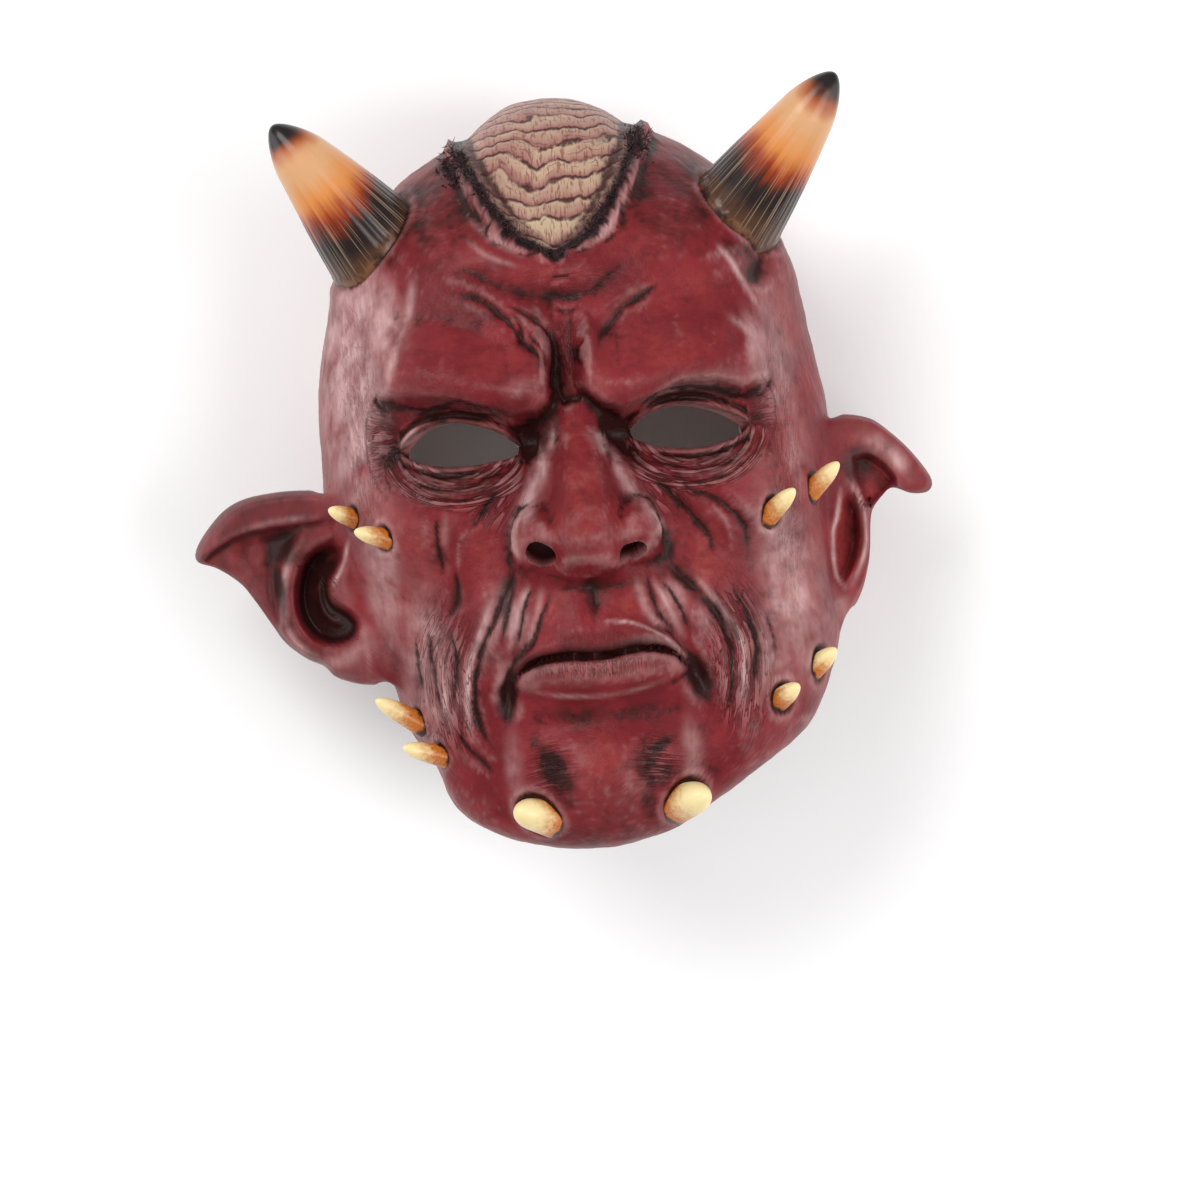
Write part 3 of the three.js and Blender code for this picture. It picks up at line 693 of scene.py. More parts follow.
# Swellings of the skin beside the horns and at the right of the jaw, as middle, rise and width, and in
# the same way the knots of torn latex at the upper ends of the torn edge
SWELLINGS = [((-76, 61, -24), 4.8, 15), ((75, 62, -17), 4.2, 16), ((-56, -90, -27), 3.2, 13)]
TUFTS = [((-32, 95, -30), 3.0, 5), ((29, 99, -33), 3.4, 4.5)]

# Nostrils, as place on the face, half widths and turn, then the bowl and the channel behind it
NOSTRILS = [(-13.8, -36.8, 5.2, 5.0, -20), (15, -37.3, 5.4, 3.4, 30)]
NOSTRIL_DEEP, NOSTRIL_FRONT = 4.8, 9  # how far the rod that cuts the bowl reaches into and out of the skin
CHANNEL_LENGTH, CHANNEL_RADIUS = 24, 1.5


def skin_depth(x, y):
    """Depth of the plain skin at one place on the front of the face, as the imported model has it."""
    x, y = np.array([x], float), np.array([y], float)
    z = head_depth(x - lean(y), y - EYE_Y)
    return float((z + sculpted(x, y) * broad_share(z))[0])


def spike_line(name):
    """Root, foot and tip of a spike."""
    (x, y), reach, _ = SPIKES[name]
    foot = np.array([x, y, skin_depth(x, y)])
    return foot - unit(reach) * SPIKE_ROOT, foot, foot + reach


def nostril_frame(x, y, high, turn):
    """Middle of a nostril, unit vectors along its half widths and out, and the ends of its channel."""
    slope_x = (skin_depth(x + 5, y) - skin_depth(x - 5, y)) / 10
    slope_y = (skin_depth(x, y + 5) - skin_depth(x, y - 5)) / 10
    out = unit(np.array([-0.5 * slope_x, -slope_y, 1]))
    a = np.array([math.cos(math.radians(turn)), math.sin(math.radians(turn)), 0])
    a = unit(a - out * (a @ out))
    b = np.cross(out, a)
    foot = np.array([x, y, skin_depth(x, y)])
    start = foot - 0.6 * NOSTRIL_DEEP * out + 0.4 * high * b
    end = start + CHANNEL_LENGTH * np.array([-0.1 * np.sign(x), 0.7, -0.7])
    return foot, a, b, out, start, end


def in_nostrils(points):
    """1 inside the nostrils and the channels behind them, falling to 0 round them."""
    value = np.zeros(len(points))
    for x, y, across, high, turn in NOSTRILS:
        foot, a, b, out, start, end = nostril_frame(x, y, high, turn)
        away = points - foot
        oval = np.hypot(away @ a / across, away @ b / high)
        rise = away @ out
        value = np.maximum(value, ease(1.2, 0.95, oval) * ease(0.9, -2.2, rise) * (rise > -9))
        value = np.maximum(value, ease(4, 3, from_segment(points, start, end)))
    return value


def from_segment(points, start, end):
    """Distance of points to a piece of a straight line."""
    way = end - start
    share = np.clip((points - start) @ way / (way @ way), 0, 1)
    return np.linalg.norm(points - start - share[:, None] * way, axis=1)


def from_axis(points, middle, way):
    """Distance of points to a straight line."""
    away = points - middle
    return np.linalg.norm(away - (away @ way)[:, None] * way, axis=1)


def sockets(points):
    """Distance outside the nearest glued piece, and how large a lip of skin it has, for each point."""
    gap, lip = np.full(len(points), FAR), np.zeros(len(points))

    def nearer(out, its_lip):
        return np.minimum(gap, out), np.where(out < gap, its_lip, lip)

    for name, (_, _, size) in SPIKES.items():
        root, foot, tip = spike_line(name)
        out = from_segment(points, mix(root, foot, 0.8), tip) - size * 1.02
        gap, lip = nearer(out, 0.3 + 0.05 * size)
    for path, foot in HORNS.values():
        path = smooth_path(path, 60)
        length = lengths(path)
        seat = np.searchsorted(length, HORN_SEAT * length[-1])
        way = unit(path[seat + 2] - path[seat - 2])
        out = from_axis(points, path[seat], way) - HORN_AT_SEAT * foot
        near = np.linalg.norm(points - path[seat], axis=1) < 32
        gap, lip = nearer(np.where(near, out, FAR), 0.5)
    return gap, lip


def relief(points):
    """How far the skin stands off its plain form: creases, bare skull, torn edge and sockets."""
    x, y, z = points.T
    height = creased(x, y)[0] * fine_share(z)
    bone = crest_edge(x, y)
    on_top = ease(-90, -60, z) * ease(55, 62, y)
    height += on_top * bell(bone + 4.4, 1.5) * (0.8 + fbm(points, 0.2, 3, 4.0))
    height -= on_top * 0.9 * bell(bone + 1.4, 1.4)
    for middle, rise, wide in SWELLINGS + TUFTS:
        height += rise * bell(np.linalg.norm(points - middle, axis=1), wide)
    gap, lip = sockets(points)
    height += lip * bell(gap - 1.8, 1.7) - 0.6 * lip * bell(gap - 0.1, 0.8)
    height += 0.5 * fbm(points, 0.05, 3, 9.0) + 0.13 * fbm(points, 0.4, 3, 2.0)
    return height


# Ears. Outlines run from the top of the root round the tip to the lobe and back. The front of an ear
# slants back from its root. Strokes are ridges on it, as points, half width and height. Plates are raised
# or sunk, as an outline, rise and width of the slope at the edge. Bowls are hollows, or rises where the
# depth is negative, as middle, half widths, turn and depth.

EARS = {
    "right": dict(
        outline=[
            (-66, -10), (-76, -10), (-90, -8.6), (-100, -8.2), (-111.5, -9.2), (-119, -12), (-125, -17),
            (-130.5, -24), (-131, -29), (-124, -32), (-116.5, -37.5), (-112, -43.4), (-106, -53),
            (-102, -59), (-95.3, -64.6), (-89.5, -67.5), (-85.6, -71.5), (-78, -74.3), (-71, -75.2),
            (-63, -76.4), (-54, -70), (-60, -42),
        ],
        centre=(-91, -34),
        root=(-74, -18),
        slope=0.68,
        strokes=[
            ([(-94, -25), (-99.5, -31), (-102, -40), (-102.5, -50), (-100, -58), (-95, -63), (-88, -66.5)],
             2.6, 3.6),
            ([(-86, -33), (-89.5, -42), (-88, -50), (-83, -54)], 1.3, 1.6),
            ([(-73, -30), (-79, -37), (-80, -42), (-75, -48)], 3.6, 2.6),
            ([(-76, -24), (-79.5, -33), (-84.5, -41), (-83, -46)], 1.2, 2.2),
        ],
        plates=[
            ([(-66, 0), (-140, 0), (-140, -36), (-130, -30), (-121.5, -25), (-112, -21.5), (-100, -20.5),
              (-88, -20), (-80, -19), (-66, -18)], 4.0, 1.3),
            ([(-93, -20), (-113, -21), (-117, -30), (-110, -44), (-104.5, -55), (-101, -49), (-99, -36)],
             -2.6, 5.0),
            ([(-93.5, -21), (-107, -21.5), (-108, -30), (-107, -42), (-104, -53), (-101.5, -47),
              (-99, -36)], -2.6, 3.4),
            ([(-78, -27), (-86, -27), (-93, -31), (-97, -40), (-97, -50), (-92.5, -58), (-86, -61),
              (-79, -60), (-76, -55), (-78.7, -50), (-84, -46), (-84.8, -41), (-81, -35)], -11.0, 3.0),
        ],
        bowls=[(-82, -67, 10, 6, 0, -2.5)],
    ),
    "left": dict(
        outline=[
            (68, -6), (84, 2), (98, 1.2), (107, -5), (114.5, -13), (119.5, -21), (118, -25), (112, -25.3),
            (105.5, -23), (101.5, -25.5), (97.5, -30.5), (96, -38), (94.8, -48), (90, -60), (80, -71),
            (68, -68), (62, -32),
        ],
        centre=(98, -15),
        root=(76, -22),
        slope=0.9,
        strokes=[
            ([(86, -23), (85.5, -30), (82.5, -36), (82.5, -50), (85.5, -55)], 1.4, 1.8),
            ([(90, -17), (94.5, -26), (94.5, -39), (91, -48), (86.5, -54)], 1.8, 3.0),
            ([(84, -1), (97, -1), (106, -7), (113, -14), (117, -21)], 3.0, 1.5),
        ],
        plates=[
            ([(92, -12), (97, -11), (102, -14), (106, -18.5), (106.5, -21.5), (102, -25), (98, -28),
              (94, -27), (92, -20)], -5.5, 2.2),
            ([(88, -21), (91.5, -26), (92.5, -34), (91, -43), (87.5, -51), (84.5, -52), (84, -45),
              (84.5, -37), (87, -31)], -4.8, 1.6),
        ],
        bowls=[(85, -60, 6, 9, 0, -2), (96.5, -16.5, 9, 8, 0, 1.4)],
    ),
}
EAR_SIDES, EAR_RINGS, EAR_BACK_RINGS, EAR_THICKNESS = 168, 38, 12, 7.0


def depth_inside(x, y, outline):
    """Distance of each point inside a closed outline, negative outside it."""
    path = smooth_path(outline + outline[:1], 4)
    gap, _ = near_path(x, y, path)
    crossings = np.zeros(len(x), int)
    for (ax, ay), (bx, by) in zip(path[:-1], path[1:]):
        spans = (ay > y) != (by > y)
        crossings += spans & (x < ax + (y - ay) * (bx - ax) / (by - ay if by != ay else 1))
    return np.where(crossings % 2 == 1, gap, -gap)


def ear_relief(ear, x, y):
    height = np.zeros_like(x)
    for points, width, rise in ear["strokes"]:
        gap, along = near_path(x, y, smooth_path(points))
        height += rise * bell(gap, width) * ease(-0.05, 0.15, along) * ease(1.05, 0.85, along)
    for outline, rise, soft in ear["plates"]:
        height += rise * ease(-0.35 * soft, soft, depth_inside(x, y, outline))
    for cx, cy, along, across, turn, depth in ear["bowls"]:
        height -= depth * mound(x, y, cx, cy, along, across, turn, 1.6)
    return height


def ear_plane(ear, x):
    """Depth of the plain front of an ear, which slants back from its root."""
    root_x, root_z = ear["root"]
    out = np.sign(x) * (x - root_x)
    return root_z - ear["slope"] * np.abs(x - root_x) * np.where(out > 0, 1, -0.3)


def on_ears(points):
    """1 on the fronts of the ears and 0 on the head behind them."""
    x, y, z = points.T
    value = np.zeros(len(points))
    for ear in EARS.values():
        near = (np.sign(ear["root"][0]) * x > 70) & (y < 6) & (y > -80)
        value = np.maximum(value, near * ease(-15, -12, z - ear_plane(ear, x)))
    return value


def ear_body(ear):
    """Points and triangles of one ear: a front with its relief, and a plain back."""
    outline, steps = ear["outline"], 16
    edge = smooth_path(outline[-2:] + outline + outline[:2], steps)
    edge = edge[2 * steps : (2 + len(outline)) * steps + 1]
    even = np.linspace(0, lengths(edge)[-1], EAR_SIDES, endpoint=False)
    edge = np.stack([np.interp(even, lengths(edge), edge[:, i]) for i in (0, 1)], 1)
    centre = np.array(ear["centre"], float)
    rows = [(rho, "front") for rho in (np.arange(EAR_RINGS + 1) / EAR_RINGS) ** 0.8 * 0.985]
    rows += [(1.0, "edge")]
    rows += [(rho, "back") for rho in np.linspace(0.98, 0, EAR_BACK_RINGS)]
    points = []
    for rho, kind in rows:
        x, y = (centre + (edge - centre) * rho).T
        plane = ear_plane(ear, x)
        front = plane + ear_relief(ear, x, y) * ease(1.0, 0.9, rho) ** 0.5
        front -= 1.5 * ease(0.9, 1, rho)
        back = np.minimum(plane, front) - EAR_THICKNESS * (1 - 0.45 * rho**3) - 2 * ease(0.9, 0.3, rho)
        z = {"front": front, "edge": (front + back) / 2, "back": back}[kind]
        points.append(np.stack([x, y, z], 1))
    numbers = numbered(len(rows), EAR_SIDES)
    numbers[0], numbers[-1] = numbers[0, 0], numbers[-1, 0]
    return np.vstack(points), ring_faces(numbers)


# Blender meshes


def link(name, data):
    """A new object in the scene."""
    obj = bpy.data.objects.new(name, data)
    bpy.context.scene.collection.objects.link(obj)
    return obj


def new_object(name, points, faces, material_numbers=None):
    """A mesh object from points of the face frame, with its normals turned outwards."""
    mesh = bpy.data.meshes.new(name)
    used, faces = np.unique(faces, return_inverse=True)
    faces = faces.reshape(-1, 3)
    mesh.from_pydata(to_row(points[used]).tolist(), [], faces.tolist())
    if material_numbers is not None:
        mesh.polygons.foreach_set("material_index", material_numbers.astype(np.int32))
    body = bmesh.new()
    body.from_mesh(mesh)
    bmesh.ops.recalc_face_normals(body, faces=body.faces)
    body.to_mesh(mesh)
    body.free()
    return link(name, mesh)


def combine(target, other, operation):
    """Joins or cuts one mesh by another, which is then removed."""
    modifier = target.modifiers.new(operation, "BOOLEAN")
    modifier.operation = operation
    modifier.solver = "MANIFOLD"
    modifier.object = other
    bpy.context.view_layer.objects.active = target
    bpy.ops.object.modifier_apply(modifier=modifier.name)
    bpy.data.objects.remove(other)


def read(items, name, width=1, kind=float):
    """One property of all points, edges or faces of a mesh."""
    values = np.zeros(len(items) * width, kind)
    items.foreach_get(name, values)
    return values.reshape(-1, width)


def mesh_points(mesh):
    return from_row(read(mesh.vertices, "co", 3))


def mesh_edges(mesh):
    return read(mesh.edges, "vertices", 2, np.int32)


def mesh_kinds(mesh):
    return read(mesh.polygons, "material_index", 1, np.int32)[:, 0]


def write_colours(mesh, **layers):
    for name, values in layers.items():
        layer = mesh.color_attributes.new(name, "FLOAT_COLOR", "POINT")
        layer.data.foreach_set("color", values.astype(np.float32).ravel())


SEAM_REACH, SEAM_ROUNDS = 7.0, 25  # how far from the seam of an ear the skin is smoothed, and how often


def averaged(values, edges, rounds):
    """Values of the points, blurred along the edges of the mesh."""
    count = np.maximum(1, np.bincount(edges.ravel(), minlength=len(values)))[:, None]
    for _ in range(rounds):
        total = np.zeros_like(values)
        for axis in range(values.shape[1]):
            for start, end in ((0, 1), (1, 0)):
                total[:, axis] += np.bincount(edges[:, start], values[edges[:, end], axis], len(values))
        values = 0.5 * values + 0.5 * total / count
    return values


def smooth_seams(mesh):
    """Rounds the line where an ear grows out of the head."""
    points, edges = mesh_points(mesh), mesh_edges(mesh)
    x, y, _ = points.T
    touched = np.zeros((len(points), 3), bool)
    for polygon, kind in zip(mesh.polygons, mesh_kinds(mesh)):
        touched[list(polygon.vertices), kind] = True
    seam = np.flatnonzero(touched[:, SKIN] & touched[:, EAR])
    tree = kdtree.KDTree(len(seam))
    for number in seam:
        tree.insert(points[number], int(number))
    tree.balance()
    weight = np.zeros(len(points))
    for number in np.flatnonzero(~touched[:, LINING] & (np.abs(x) > 50) & (y < 15) & (y > -85)):
        weight[number] = ease(SEAM_REACH, 0.5, tree.find(points[number])[2])
    for _ in range(SEAM_ROUNDS):
        points = mix(points, averaged(points, edges, 1), weight[:, None])
    mesh.vertices.foreach_set("co", to_row(points).ravel())
    mesh.update()


# Paint. Areas are centre, half widths, turn and strength. The first table is dark, GLOW red and SHEEN pale.

# Dark areas: wash paint and painted shade, such as the shadow under the brows, in the corners of the mouth
# and in the dent under a horn.
WASH_AND_SHADE = [
    (-36, 17, 22, 4.5, -8, 0.36), (30, 14, 22, 4.5, 8, 0.32), (-3, 28, 5, 14, 0, 0.7),
    (0, 48, 28, 3, 0, 0.55), (-27, 55, 11, 5, -12, 0.5), (-15, 1, 8, 7, 20, 0.95), (14, 4, 7, 6, -20, 0.95),
    (-38, 10.8, 20, 3.2, -3, 0.9), (38, 11, 20, 2.6, 0, 0.85), (-61, 3, 6.5, 15, 0, 0.8),
    (60, 5, 4, 10, 0, 0.4), (-38, -10, 22, 8, 0, 0.62), (38, -10, 21, 8, 0, 0.5),
    (-50, -16, 12, 6, -30, 0.4), (-24.5, -41, 2, 5, 0, 0.8), (28, -40, 2, 5, 0, 0.7),
    (-45, -28, 7, 10, 0, 0.25), (-37, -74, 2.5, 15, 0, 0.45), (46, -74, 2.5, 15, 0, 0.4),
    (2, -66.5, 22, 3.6, 0, 0.42), (-28.5, -83, 3.6, 7.6, -6, 1.6), (34.3, -80.5, 4.4, 8, 12, 1.6),
    (-18.5, -100, 3, 6, 25, 0.8), (-16, -106, 5, 8, 20, 1.15), (-12.5, -112.5, 5, 4.5, 0, 0.95),
    (13.5, -102, 2.6, 5.5, -30, 0.75), (14.5, -108.5, 4, 7.5, 8, 1.15), (22, -111, 5, 4, 0, 0.85),
    (19.5, -101.5, 6.5, 2.2, 25, 0.95), (-3, 35, 14, 9, 0, 0.3), (32, -49, 13, 3.4, -50, 0.5),
    (-12.5, -117.5, 4.5, 4, 0, 0.8), (14.5, -119.5, 3.2, 6, 0, 0.85), (10, -107, 5, 2.5, 10, 0.6),
    (53, -36, 3, 12, 8, 0.5), (60.5, 57.5, 8, 4, -8, 0.6), (63.5, 51.5, 5.2, 6.5, -15, 0.62),
    (-42, 78, 18, 20, 20, 0.66), (-58, 70, 8, 12, 20, 0.5), (40, 78, 18, 18, -20, 0.66),
    (1, -50.5, 3.6, 6, 0, 0.66), (2, -56, 2.2, 4, 0, 0.6), (-6, -89.5, 9, 2.6, 0, 0.3),
    (14, -89.5, 7, 2.6, 0, 0.38), (-46, -60, 3, 25, 0, 0.3), (0, -130, 40, 5, 0, 0.4),
    (-31, 43, 18, 6, -8, 0.42), (-10, 38, 6, 8, 30, 0.45), (17, 40, 6, 11, -40, 0.42),
]
GLOW = [
    (-28, 23, 17, 8, 0, 0.62), (30, 26, 18, 8, 0, 0.7), (35, 45, 20, 8, 0, 0.5), (0, 54, 14, 4, 0, 0.6),
    (1, -14, 6, 22, 0, 0.95), (2, -29, 15, 8, 0, 0.7), (-53, -36, 9, 16, 0, 0.8), (-33, -32, 7, 10, 0, 0.5),
    (40, -40, 8, 13, 0, 0.9), (62, -10, 9, 10, 0, 0.6), (-12, -54, 6, 6, 0, 0.9), (14, -54, 8, 6, 0, 0.9),
    (0, -107, 8, 14, 0, 0.9), (-38, 8, 19, 2, 0, 0.7), (38, 8, 19, 2, 0, 0.7), (-28, 66, 14, 8, 0, 0.4),
    (30, 62, 14, 8, 0, 0.5), (3, -77, 20, 4, 0, 0.6), (-60, -27, 7, 8, 0, 0.5), (88, -38, 4, 14, 0, 1.0),
    (98, -22, 6, 6, 0, 0.8), (95, -6, 10, 5, -20, 0.7), (-112, -30, 8, 8, 0, 0.5),
]
# Pale areas: dry-brushed paint and painted highlight, such as the pale reflection on the side planes of the
# head.
SHEEN = [
    (-73, 24, 10, 38, 0, 1.0), (-62, 46, 10, 13, 20, 1.0), (-66, -40, 6, 24, 0, 0.62),
    (-55, -68, 8, 28, 0, 0.55), (68, 22, 7, 26, 0, 0.42), (72, -8, 4, 20, 0, 0.42),
    (67, -52, 10, 30, 8, 0.68), (60, -72, 7, 16, 0, 0.5), (-15, -13, 2, 7, -10, 0.5),
    (-17, -22, 2.5, 5, -20, 0.6), (17, -16, 2, 8, 12, 0.35), (22, -24, 2.5, 5, 20, 0.5),
    (-25, -56, 5, 10, 22, 0.6), (28, -55, 5, 9, -22, 0.6), (61, 27, 2.5, 11, 10, 0.5),
    (2, -77, 16, 2, 0, 0.25), (-28, -106, 3, 12, 0, 0.35), (30, -104, 3, 12, 0, 0.3),
    (-34, -60, 2.5, 12, -20, 0.3), (38, -62, 2.5, 12, 20, 0.3), (-17, 18, 5, 3, 0, 0.3),
]
# Strokes of paint, as points, half width and strength. The pale ones are dry-brush and painted highlight.
PALE_AND_HIGHLIGHT_STROKES = [
    ([(-6.5, 4), (-8, -4)], 1.4, 1.0), ([(-12, 0), (-10, -8)], 1.2, 0.7), ([(8, 2), (10, -6)], 1.6, 1.0),
    ([(-11, 0), (-12, -10), (-17, -19), (-22, -26)], 2.2, 0.9),
    ([(12, -2), (14, -12), (19, -22)], 1.8, 0.6),
    ([(-18, -23), (-21.5, -26), (-22.5, -32), (-21, -38)], 1.1, 1.0),
    ([(21, -23.5), (25, -28), (25.5, -34)], 1.1, 0.9), ([(-58, 2), (-55, 5), (-51, 9)], 0.9, 1.0),
    ([(-19, -47), (-23, -56), (-27, -67)], 1.2, 0.8),
    ([(-14.5, -48), (-17, -57), (-21, -66), (-26, -73)], 1.1, 0.75), ([(-25, -49), (-30, -60)], 1.0, 0.6),
    ([(5, -60), (14, -61), (24, -66.5), (31, -74)], 0.5, 0.75), ([(-26, -70), (-31, -78)], 1.2, 0.5),
    ([(16, -47), (18.5, -56), (23, -64)], 1.4, 0.75), ([(22, -48), (26, -57), (30, -67)], 1.2, 0.8),
    ([(-22, -80), (-12, -82.8), (3, -84), (15, -82.6), (25, -79.6)], 0.7, 0.35),
    ([(52, 60), (56, 54), (60, 46), (63.5, 39)], 1.0, 0.9),
    ([(-30, -49), (-35, -60), (-41, -75), (-41.5, -92)], 1.2, 0.8),
    ([(35, -47), (44, -60), (49.5, -72), (48, -88)], 1.2, 0.8),
    ([(-50, -58), (-50, -75), (-49, -92)], 1.6, 0.6), ([(-55, -60), (-55, -80)], 1.6, 0.6),
    ([(56, -58), (57, -72), (54, -88)], 2.0, 0.5), ([(22, 10.5), (34, 14), (45, 13.5), (56, 10)], 0.9, 0.6),
    ([(64, 20), (60, 30), (54, 36)], 1.4, 0.6), ([(-30, 68), (-24, 62), (-14, 57.5)], 0.9, 0.5),
    ([(-31, 86), (-29, 77), (-22, 68), (-12, 61)], 1.2, 0.7),
    ([(26, 86), (23, 78), (17, 69), (9, 62)], 1.2, 0.6), ([(-44, -20), (-45, -32)], 1.2, 0.3),
    ([(-60, 20), (-56, 34), (-51, 46), (-49, 56)], 1.6, 0.8),
]
# Dark strokes: painted shade, such as the broad shadow of the fold beside the nose, the corners of the
# mouth and under a horn.
PAINTED_SHADE_STROKES = [
    ([(24, -38), (33, -50), (43, -61), (50, -74)], 3.0, 0.7),
    ([(-29, -79), (-23, -72.5), (-8, -69), (6, -69.3), (21, -68.6), (33, -78)], 3.0, 0.85),
    ([(-28, -66), (-36, -74), (-38, -88)], 2.6, 0.4), ([(-20, 6), (-10, 9), (-4, 14)], 2.5, 0.6),
    ([(6, 13), (11, 8), (18, 6)], 2.5, 0.6), ([(51, 64), (57, 59), (61.5, 51), (64.5, 43)], 1.0, 0.5),
    ([(70, 61), (68, 52), (65, 43)], 1.0, 0.45), ([(-24, -75), (-27.5, -79), (-28.5, -86)], 1.6, 1.0),
    ([(28, -74), (33, -78), (36, -85)], 1.8, 1.0),
    ([(-36, 59), (-20, 52), (0, 48), (16, 52), (25, 59)], 4.5, 0.5),
]
# Painted shade in the hollows of the ears.
EAR_HOLLOW_SHADE = [
    (-100.5, -27, 6.5, 7, 10, 1.0), (-102.6, -41, 2.8, 11, 6, 1.0), (94.5, -14.5, 8, 8, -20, 0.85),
    (101, -18.5, 6, 6, 0, 0.5),
]
# The strokes of the ears are pale too: painted highlight on their rims and ridges.
EAR_HIGHLIGHT_STROKES = [
    ([(-95, -27), (-100, -36), (-101.5, -48), (-98, -59), (-89, -66)], 1.5, 0.8),
    ([(-77, -26), (-80, -34), (-84.5, -42)], 0.8, 0.9),
    ([(-90, -17.5), (-105, -18.5), (-116, -21)], 1.2, 0.4),
    ([(-72, -58), (-82, -66), (-92, -66)], 3.0, 0.4), ([(96, -5), (105, -11), (111, -19)], 2.8, 0.75),
    ([(87, -22), (85, -31), (83, -38), (83, -50), (86, -56)], 0.7, 1.0),
    ([(90, -19), (94, -28), (94, -42), (88, -55)], 0.8, 1.0), ([(83, -58), (86, -66)], 3.0, 0.4),
]


def painted(x, y, areas):
    """The strongest of some soft spots of paint at each place."""
    value = np.zeros_like(x)
    for cx, cy, along, across, turn, strength in areas:
        value = np.maximum(value, strength * mound(x, y, cx, cy, along, across, turn, 1.4))
    return value


def brushed(x, y, strokes):
    """The strongest of some brush strokes at each place, which are faint at their ends."""
    value = np.zeros_like(x)
    for points, width, strength in strokes:
        near, gap, along = near_stroke(x, y, points, 4 * width)
        taper = ease(-0.1, 0.25, along) * ease(1.1, 0.75, along)
        value[near] = np.maximum(value[near], strength * taper * bell(gap, width))
    return value


def ear_shade(points, near_ear):
    """Painted shade in the hollows of the ears, darker the deeper they are, and a thin wash over the rest
    of them.
    """
    shade = np.zeros(len(points))
    for ear in EARS.values():
        side = np.sign(ear["root"][0])
        here = np.flatnonzero((near_ear > 0) & (side * points[:, 0] > 0))
        x, y = points[here, 0], points[here, 1]
        deepest, thin = (0.95 - 0.45 * mound(x, y, -82, -29, 8, 6), 0.42) if side < 0 else (0.12, 0.2)
        hollow = deepest * ease(-2.0, -9.0, ear_relief(ear, x, y))
        hollow = np.maximum(hollow, painted(x, y, EAR_HOLLOW_SHADE))
        shade[here] = np.maximum(hollow, thin * ease(80, 92, np.abs(x))) * near_ear[here]
    return shade


def strongest(*values):
    return np.maximum.reduce(values)


